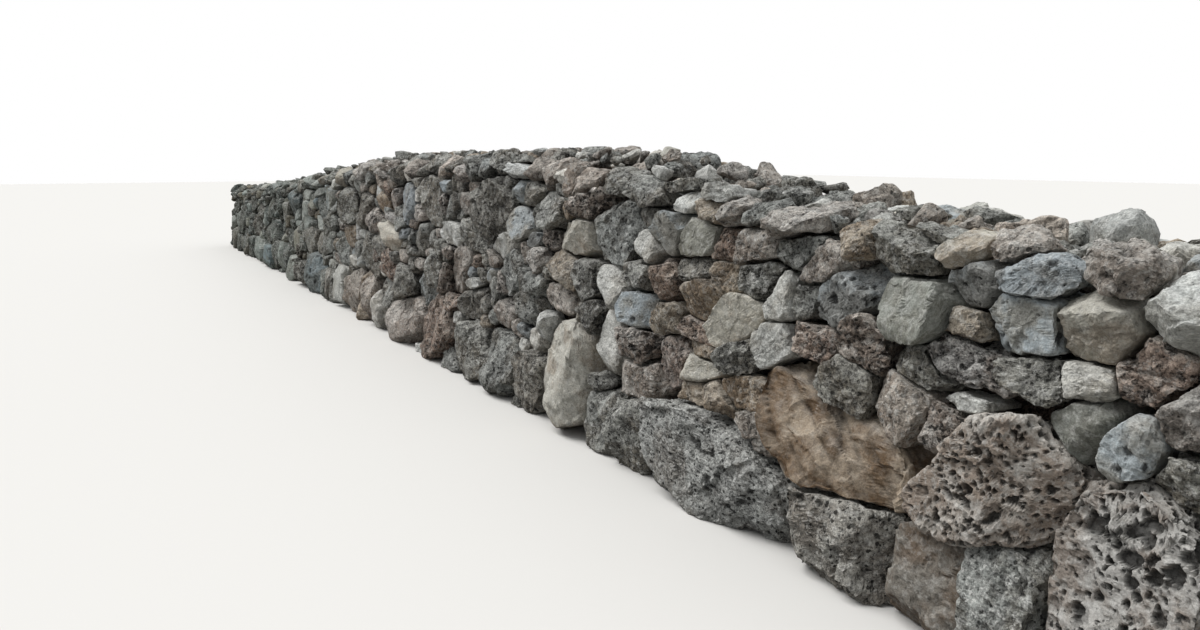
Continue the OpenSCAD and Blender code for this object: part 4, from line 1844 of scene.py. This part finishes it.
@dataclass
class Hearting:
    """Rubble core that shows through the open joints, darkened with painted shade for the shade inside the
    wall.
    """

    form: WallForm  # The wall's form
    cover: float = 0.19  # Depth of the core behind the plane of the joints
    drop: float = 0.10  # Depth of the core below the top
    inside: float = 0.12  # How far the core ends inside the wall's ends
    lump: float = 0.07  # Width of the lumps in its surface
    push: float = 0.035  # How far the surface is pushed in between lumps
    heart: float = 0.6  # Height of the line that it is pushed towards
    rows: int = 36  # Number of sections along a bay
    rise: int = 12  # Number of points up a face
    lid: int = 9  # Number of steps across the top
    shade: float = 0.55  # Painted shade: how dark it is beside its kind of stone, for the shade inside the wall
    kind: Kind = RUST  # What it is made of

    def sheet(self, low: float, high: float) -> Array:
        """Carries the core's section along X: up the front, across the top and down the back.

        Args:
            low: The smallest x.
            high: The greatest x.

        Returns:
            The points, in rows of one section each.
        """
        xs = np.linspace(low, high, self.rows)
        top = self.form.crown(xs, 0.5) - self.drop
        front_z = np.linspace(0, 1, self.rise)[None] * top[:, None]
        front_y = -(self.form.half_width(front_z) - self.cover)
        half = self.form.half_width(top) - self.cover
        lid_y = half[:, None] * np.linspace(-1, 1, self.lid + 1)[None, 1:-1]
        lid_z = self.form.crown(xs[:, None], lid_y) - self.drop
        front, lid = (
            np.stack([np.broadcast_to(xs[:, None], y.shape), y, z], -1)
            for y, z in ((front_y, front_z), (lid_y, lid_z))
        )
        return np.concatenate([front, lid, front[:, ::-1] * np.array([1, -1, 1])], 1)

    def build(self, bay: int, surface: Surface) -> None:
        """Adds the core of a bay: its section is carried along X and its surface is pushed in between lumps.

        Args:
            bay: Number of the bay.
            surface: The mesh to add it to.
        """
        high, low = self.form.bay_edges[bay - 1], self.form.bay_edges[bay]
        if bay == 1:
            high -= self.inside
        if bay == len(self.form.bay_edges) - 1:
            low += self.inside
        sheet = self.sheet(low, high)
        flat = sheet.reshape(-1, 3)
        inward = normed(flat * X_AXIS + self.heart * UP - flat)
        lumps = 1 - pits(flat, self.lump, 1.0, 5000 + bay)
        moved = flat + inward * self.push * np.clip(lumps, 0, 1)[:, None]
        moved[:, 0] = flat[:, 0]
        moved[:, 2] = np.maximum(moved[:, 2], 0)
        rows, columns = sheet.shape[:2]
        index = np.arange(rows * columns).reshape(rows, columns)
        ring = np.concatenate([index, index[:, :1]], 1)
        quads = np.stack([ring[:-1, :-1], ring[:-1, 1:], ring[1:, 1:], ring[1:, :-1]], -1).reshape(-1, 4)
        pole = np.full(columns, rows * columns)
        low_cap = np.stack([ring[0, 1:], ring[0, :-1], pole], -1)
        high_cap = np.stack([ring[-1, :-1], ring[-1, 1:], pole + 1], -1)
        points = np.concatenate([moved, np.array([[low, 0, 0.5], [high, 0, 0.5]])])
        kind = self.kind.value
        # Its colours and its marks darken it with painted shade, for the shade inside the wall
        surface.add(
            points,
            quads[:, ::-1],
            np.concatenate([low_cap, high_cap])[:, ::-1],
            [*(self.shade * linear(kind.base)), 0.1],
            [*(self.shade * linear(kind.stain)), kind.rough],
            np.tile(np.array([0.6, 0.6, 0.0, 0.8]), (len(points), 1)),
        )


# Finishes


ADD, SUBTRACT, MULTIPLY, MULTIPLY_ADD, ABSOLUTE, MINIMUM, MAXIMUM = (
    {"operation": name}
    for name in ("ADD", "SUBTRACT", "MULTIPLY", "MULTIPLY_ADD", "ABSOLUTE", "MINIMUM", "MAXIMUM")
)
SMOOTH = {"interpolation_type": "SMOOTHSTEP"}


def add_node(
    tree: Tree,
    kind: str,
    settings: dict[str, object] | None = None,
    out: int | str = 0,
    **inputs: object,
) -> Socket | None:
    """Adds a node with its settings, values and links.

    Args:
        tree: The node tree.
        kind: The node's type, without the words that all types begin with.
        settings: Attributes to set on the node.
        out: The output to give back.
        **inputs: For each input, a value or the socket that feeds it. Names are in lower case with _ for
            spaces, and a name such as i2 means the third input.

    Returns:
        The output, or nothing for a node that has none.
    """
    node = tree.nodes.new(f"ShaderNode{kind}")
    for name, value in (settings or {}).items():
        setattr(node, name, value)
    names = {socket.name.lower().replace(" ", "_"): socket for socket in reversed(node.inputs)}
    for name, value in inputs.items():
        socket = node.inputs[int(name[1:])] if name[0] == "i" and name[1:].isdigit() else names[name]
        if isinstance(value, Socket):
            tree.links.new(value, socket)
        else:
            socket.default_value = value
    return node.outputs[out] if node.outputs else None


@dataclass(frozen=True)
class WeatheredLimestone:
    """Coral limestone, broken by hand and weathered: dull and rough, pitted, and crusted with lichen.

    The eye gets soft blotches, a pale crust with ragged edges, dark specks, and small pits painted dark with
    shade.
    """

    name: str  # Name of the material
    mottle_mm: float = 70  # Width of its soft blotches
    crust_mm: float = 30  # Width of its patches of pale lichen
    crag_mm: float = 60  # Width of the lumps between its fine crevices
    speck_mm: float = 12  # Width of its dark specks
    grain_mm: float = 7  # Width of its grain, drawn coarser than the real 0.5 mm so that it shows
    pit_mm: float = 24  # Distance between its small pits
    lump_mm: float = 34  # Width of the lumps in its surface
    crust: float = 1.0  # How strongly the stones' own pale crust shows
    speck: float = 0.28  # Strength of the dark specks
    painted_top_light: float = 0.35  # Painted light from above: how much paler its upward sides are
    roughness: float = 0.95  # Roughness of dry stone, near the most that a stone has
    # How much a dull, porous surface reflects, as a share of a smooth one's 1, where 0.5 is usual
    specular: float = 0.25

    def build(self) -> bpy.types.Material:
        """Makes the material.

        The stone's own colours come from its attributes. Blotches mix in the stain, less of it on upward sides,
        and upward sides are painted paler as light from above. Crust and specks lie over both, and hollows,
        pits and crevices are darkened with painted shade. Lumps, grain, pits and crevices make the bump, and
        the lumps and grain also paint shade in its lows and light on its crests.

        Returns:
            The material.
        """
        material = bpy.data.materials.new(self.name)
        material.use_nodes = True
        tree = material.node_tree
        tree.nodes.clear()
        place = add_node(tree, "TexCoord", out="Object")
        base, stain, marks = (
            add_node(tree, "Attribute", {"attribute_name": label}, "Color")
            for label in ("base", "stain", "marks")
        )
        painted_hollow_shade = add_node(tree, "SeparateColor", color=marks)
        stained, upward = painted_hollow_shade.node.outputs[1:]
        mottle, crust, speck, grain, lump, crag = (
            add_node(tree, "TexNoise", vector=place, scale=1000 / size, detail=detail, roughness=rough)
            for size, detail, rough in (
                (self.mottle_mm, 5, 0.62),
                (self.crust_mm, 7, 0.72),
                (self.speck_mm, 5, 0.7),
                (self.grain_mm, 4, 0.7),
                (self.lump_mm, 7, 0.66),
                (self.crag_mm, 6, 0.62),
            )
        )
        rough = add_node(
            tree, "MapRange", value=mottle, from_min=0.36, from_max=0.62, to_min=0.5, to_max=1.15
        )
        rough = add_node(tree, "Math", MULTIPLY, i0=rough, i1=stain.node.outputs["Alpha"])
        blotch = add_node(tree, "Math", ADD, i0=mottle, i1=stained)
        # Less stain on upward sides, so undersides stay darker: painted shade below, over the real stain
        blotch = add_node(tree, "Math", MULTIPLY_ADD, i0=upward, i1=-0.35, i2=blotch)
        painted_top_light = add_node(tree, "Math", MULTIPLY, i0=mottle, i1=upward)
        crusted = add_node(tree, "Math", MULTIPLY, i0=base.node.outputs["Alpha"], i1=self.crust)
        colour = base
        for value, low, high, strength, paint in (
            (blotch, 0.44, 0.80, 1.0, stain),
            # Painted light from above: upward sides painted paler
            (painted_top_light, 0.26, 0.62, self.painted_top_light, (*linear("#bbb9b2"), 1)),
            (crust, 0.49, 0.58, crusted, (*linear("#d2d1cc"), 1)),
            (speck, 0.55, 0.66, self.speck, (*linear("#5f5d59"), 1)),
        ):
            share = add_node(
                tree, "MapRange", SMOOTH, value=value, from_min=low, from_max=high, to_max=strength
            )
            colour = add_node(tree, "Mix", {"data_type": "RGBA"}, 2, i0=share, i6=colour, i7=paint)
        bent = place
        for noise, shift in ((speck, 0.012), (grain, 0.007)):
            way = noise.node.outputs["Color"]
            bent = add_node(tree, "VectorMath", MULTIPLY_ADD, i0=way, i1=(shift,) * 3, i2=bent)
        pit = self.sink_pits(tree, bent, marks.node.outputs["Alpha"])
        # Crevices: thin lines where the crag noise crosses its middle, darkened with painted shade and sunk in
        # the bump
        gap = add_node(tree, "Math", SUBTRACT, i0=crag, i1=0.5)
        gap = add_node(tree, "Math", ABSOLUTE, i0=gap)
        gap = add_node(tree, "MapRange", SMOOTH, value=gap, from_max=0.03, to_min=1.0, to_max=0.0)
        crevice = add_node(tree, "Math", MULTIPLY, i0=gap, i1=rough)
        # Painted shade: hollows, pits and crevices are darkened as if shade fell in them
        shade = 1.0
        for deep, strength in ((painted_hollow_shade, -0.82), (pit, -0.8), (crevice, -0.5)):
            shade = add_node(tree, "Math", MULTIPLY_ADD, i0=deep, i1=strength, i2=shade)
        shade = add_node(tree, "Math", MAXIMUM, i0=shade, i1=0.12)
        # Flecks of grain, specks and lumps. Grain and lumps also make the bump, so their flecks paint shade in
        # its lows and light on its crests.
        for value, least, most in ((grain, 0.9, 3.6), (speck, 0.6, 3.0), (lump, 0.2, 1.7)):
            gain = add_node(tree, "Math", MULTIPLY_ADD, i0=rough, i1=most - least, i2=least)
            middle = add_node(tree, "Math", SUBTRACT, i0=value, i1=0.5)
            fleck_and_relief_shade = add_node(tree, "Math", MULTIPLY_ADD, i0=middle, i1=gain, i2=1.0)
            fleck_and_relief_shade = add_node(tree, "Math", MINIMUM, i0=fleck_and_relief_shade, i1=1.28)
            shade = add_node(tree, "Math", MULTIPLY, i0=shade, i1=fleck_and_relief_shade)
        darken = {"data_type": "RGBA", "blend_type": "MULTIPLY"}
        colour = add_node(tree, "Mix", darken, 2, i0=1.0, i6=colour, i7=shade)
        height = lump
        for relief, strength in ((grain, 0.26), (pit, -0.25), (crevice, -0.12)):
            height = add_node(tree, "Math", MULTIPLY_ADD, i0=relief, i1=strength, i2=height)
        strength = add_node(tree, "Math", MULTIPLY_ADD, i0=rough, i1=0.8, i2=0.2)
        bump = add_node(tree, "Bump", strength=strength, distance=0.040, height=height)
        shader = add_node(tree, "BsdfPrincipled", base_color=colour, roughness=self.roughness, normal=bump)
        shader.node.inputs["Specular IOR Level"].default_value = self.specular
        add_node(tree, "OutputMaterial", surface=shader)
        return material

    def sink_pits(self, tree: Tree, place: Socket, pitted: Socket) -> Socket:
        """Sinks small pits of two sizes, each of a random width, or of none.

        Args:
            tree: The node tree.
            place: The place on the stone, bent so that the pits are ragged.
            pitted: Strength of the pits.

        Returns:
            The depth of the pits.
        """
        pit = 0.0
        for size, depth in ((self.pit_mm, 1.0), (0.5 * self.pit_mm, 0.7)):
            near = add_node(tree, "TexVoronoi", {"feature": "F1"}, vector=place, scale=1000 / size)
            width = add_node(tree, "SeparateColor", color=near.node.outputs["Color"])
            width = add_node(tree, "MapRange", value=width, from_min=0.24, to_min=0.0, to_max=0.45)
            hole = add_node(tree, "Math", SUBTRACT, i0=width, i1=near)
            hole = add_node(tree, "MapRange", SMOOTH, value=hole, from_max=0.12, to_max=depth)
            pit = add_node(tree, "Math", MULTIPLY_ADD, i0=hole, i1=pitted, i2=pit)
        return pit


FINISHES = {
    "boulders": WeatheredLimestone("weathered_boulder_limestone"),
    "facing_stones": WeatheredLimestone("weathered_facing_limestone"),
    "hearting": WeatheredLimestone("buried_rubble_limestone", crust=0.5, speck=0.3, painted_top_light=0.0),
    "top_stones": WeatheredLimestone("bleached_top_limestone", painted_top_light=0.10, speck=0.2),
}
SLOT_OF_PART = {
    "footing": "boulders",
    "facing": "facing_stones",
    "hearting": "hearting",
    "top_stones": "top_stones",
}


# Camera, floor and light


def seen_ray(tree: Tree) -> Socket:
    """Tells rays that show a surface to the camera, straight or by a reflection, from rays that light it.

    Args:
        tree: The node tree.

    Returns:
        1 on rays that show a surface, and 0 on others.
    """
    seen = add_node(tree, "LightPath", out="Is Camera Ray")
    for ray in ("Is Glossy Ray", "Is Transmission Ray"):
        seen = add_node(tree, "Math", MAXIMUM, i0=seen, i1=add_node(tree, "LightPath", out=ray))
    return seen


@dataclass
class Studio:
    """Camera, floor and soft light."""

    form: WallForm  # The wall's form
    eye: float = 1.67  # Height of the camera above the ground
    before: float = 0.70  # Distance of the camera beyond the near end, along the wall
    aside: float = 2.415  # Distance of the camera from the front face at its foot
    face: float = 0.60  # Distance of that face from the wall's middle
    turn: float = 29.78  # How far the camera looks away from the wall's line, in degrees
    down: float = 9.9  # How far it looks down, in degrees
    lens: float = 27.0  # Focal length on a sensor 36 mm wide
    floor: float = 60.0  # Half the width of the floor
    sun: float = 2.4  # Strength of the sun, seen through cloud
    haze: float = 38.0  # Width of the sun's disc, in degrees
    shine: tuple[float, float, float] = (0.42, 0.40, -0.82)  # The way that the sun's light goes

    def place(self) -> Array:
        """Where the camera stands."""
        return np.array([self.form.high[0] + self.before, -(self.face + self.aside), self.eye])

    def set_camera(self) -> None:
        """Makes the camera and looks through it."""
        data = bpy.data.cameras.new("camera")
        data.lens = self.lens
        data.sensor_width = 36.0
        data.clip_end = 200.0
        camera = bpy.data.objects.new("camera", data)
        turn, down = math.radians(self.turn), math.radians(self.down)
        ahead = Vector((-math.cos(turn) * math.cos(down), math.sin(turn) * math.cos(down), -math.sin(down)))
        camera.location = Vector(self.place())
        camera.rotation_euler = ahead.to_track_quat("-Z", "Y").to_euler()
        bpy.context.scene.collection.objects.link(camera)
        bpy.context.scene.camera = camera

    def lay_floor(self) -> None:
        """Lays a plain pale floor. It looks pale to the camera, but throws little light up."""
        mesh = bpy.data.meshes.new("floor")
        corners = [(x * self.floor, y * self.floor, 0) for x, y in ((-1, -1), (1, -1), (1, 1), (-1, 1))]
        mesh.from_pydata(corners, [], [(0, 1, 2, 3)])
        floor = bpy.data.objects.new("floor", mesh)
        bpy.context.scene.collection.objects.link(floor)
        material = bpy.data.materials.new("studio_floor_paint")
        material.use_nodes = True
        tree = material.node_tree
        tree.nodes.clear()
        seen = seen_ray(tree)
        pale = add_node(tree, "BsdfDiffuse", color=(*linear("#dcdad6"), 1))
        dim = add_node(tree, "BsdfDiffuse", color=(*linear("#7f7f7d"), 1))
        mixed = add_node(tree, "MixShader", i0=seen, i1=dim, i2=pale)
        add_node(tree, "OutputMaterial", surface=mixed)
        mesh.materials.append(material)
        floor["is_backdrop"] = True

    def light(self) -> None:
        """Lights the wall like a bright overcast sky: soft from above and a little from the front."""
        world = bpy.data.worlds.new("studio")
        bpy.context.scene.world = world
        world.use_nodes = True
        tree = world.node_tree
        tree.nodes.clear()
        way = add_node(tree, "TexCoord", out="Generated")
        height = add_node(tree, "SeparateXYZ", out=2, vector=way)
        strength = add_node(
            tree, "MapRange", value=height, from_min=-0.1, from_max=1.0, to_min=0.30, to_max=0.95
        )
        sky = add_node(tree, "Background", color=(*linear("#f3f5f7"), 1), strength=strength)
        white = add_node(tree, "Background", color=(1, 1, 1, 1), strength=1.0)
        seen = seen_ray(tree)
        mixed = add_node(tree, "MixShader", i0=seen, i1=sky, i2=white)
        add_node(tree, "OutputWorld", surface=mixed)
        data = bpy.data.lights.new("overcast", "SUN")
        data.energy = self.sun
        data.angle = math.radians(self.haze)
        lamp = bpy.data.objects.new("overcast", data)
        lamp.rotation_euler = Vector(self.shine).to_track_quat("-Z", "Y").to_euler()
        bpy.context.scene.collection.objects.link(lamp)


# The wall


@dataclass
class Wall:
    """The whole wall, built in order and dressed."""

    form: WallForm  # The wall's form
    nodes: dict[str, bpy.types.Object]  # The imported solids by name
    camera: Array  # Where the wall is mostly seen from
    seed: int = 7  # Seed of all the chance in it

    def lay(self) -> list[Stone]:
        """Lays every stone, from the footing to the top and the ends.

        Returns:
            The stones.
        """
        chance = np.random.default_rng(self.seed)
        boulders = Footing(self.form, chance).lay(self.nodes)
        edges = TopEdge(self.form, chance).lay()
        stones = boulders + edges
        facing = Facing(self.form, chance)
        for side in Side:
            around = [stone for stone in boulders + edges if stone.outward[1] * side > 0]
            stones += facing.lay(side, around)
        stones += TopFill(self.form, chance).lay(edges)
        ends = EndFill(self.form, chance)
        for end in (1, -1):
            stones += ends.lay(end, stones)
        LOG.info("laid %d stones", len(stones))
        return stones

    def build(self) -> None:
        """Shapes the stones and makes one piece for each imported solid."""
        stones = self.lay()
        mason = Mason(self.form, self.camera, np.random.default_rng(self.seed + 1))
        planes = mason.part(stones)
        carver = Carver(mason, mason.chance)
        hearting = Hearting(self.form)
        materials = {slot: finish.build() for slot, finish in FINISHES.items()}
        total = 0
        for name in sorted(self.nodes):
            part = next(part for part in SLOT_OF_PART if name.endswith(part))
            slot = SLOT_OF_PART[part]
            surface = Surface()
            which = [k for k, stone in enumerate(stones) if stone.node == name]
            for k in which:
                carver.carve(stones[k], planes.normals[k], planes.reaches[k], surface)
            if part == "hearting":
                hearting.build(int(name.split("_")[1]), surface)
            piece = surface.to_object(f"{name}_laid", materials[slot])
            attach(piece, "root")
            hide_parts(name)
            total += surface.triangle_count()
            LOG.info("%s: %d stones, %d triangles", piece.name, len(which), surface.triangle_count())
        LOG.info("%d triangles in all", total)


def main() -> None:
    """Builds the studio and the wall."""
    logging.basicConfig(level=logging.INFO, format="%(message)s")
    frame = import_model()
    form = WallForm.from_frame(frame["nodes"])
    studio = Studio(form)
    studio.set_camera()
    studio.lay_floor()
    studio.light()
    Wall(form, frame["nodes"], studio.place()).build()
    bpy.context.scene.view_settings.view_transform = "Standard"
    bpy.context.view_layer.update()


if __name__ == "__main__":
    main()
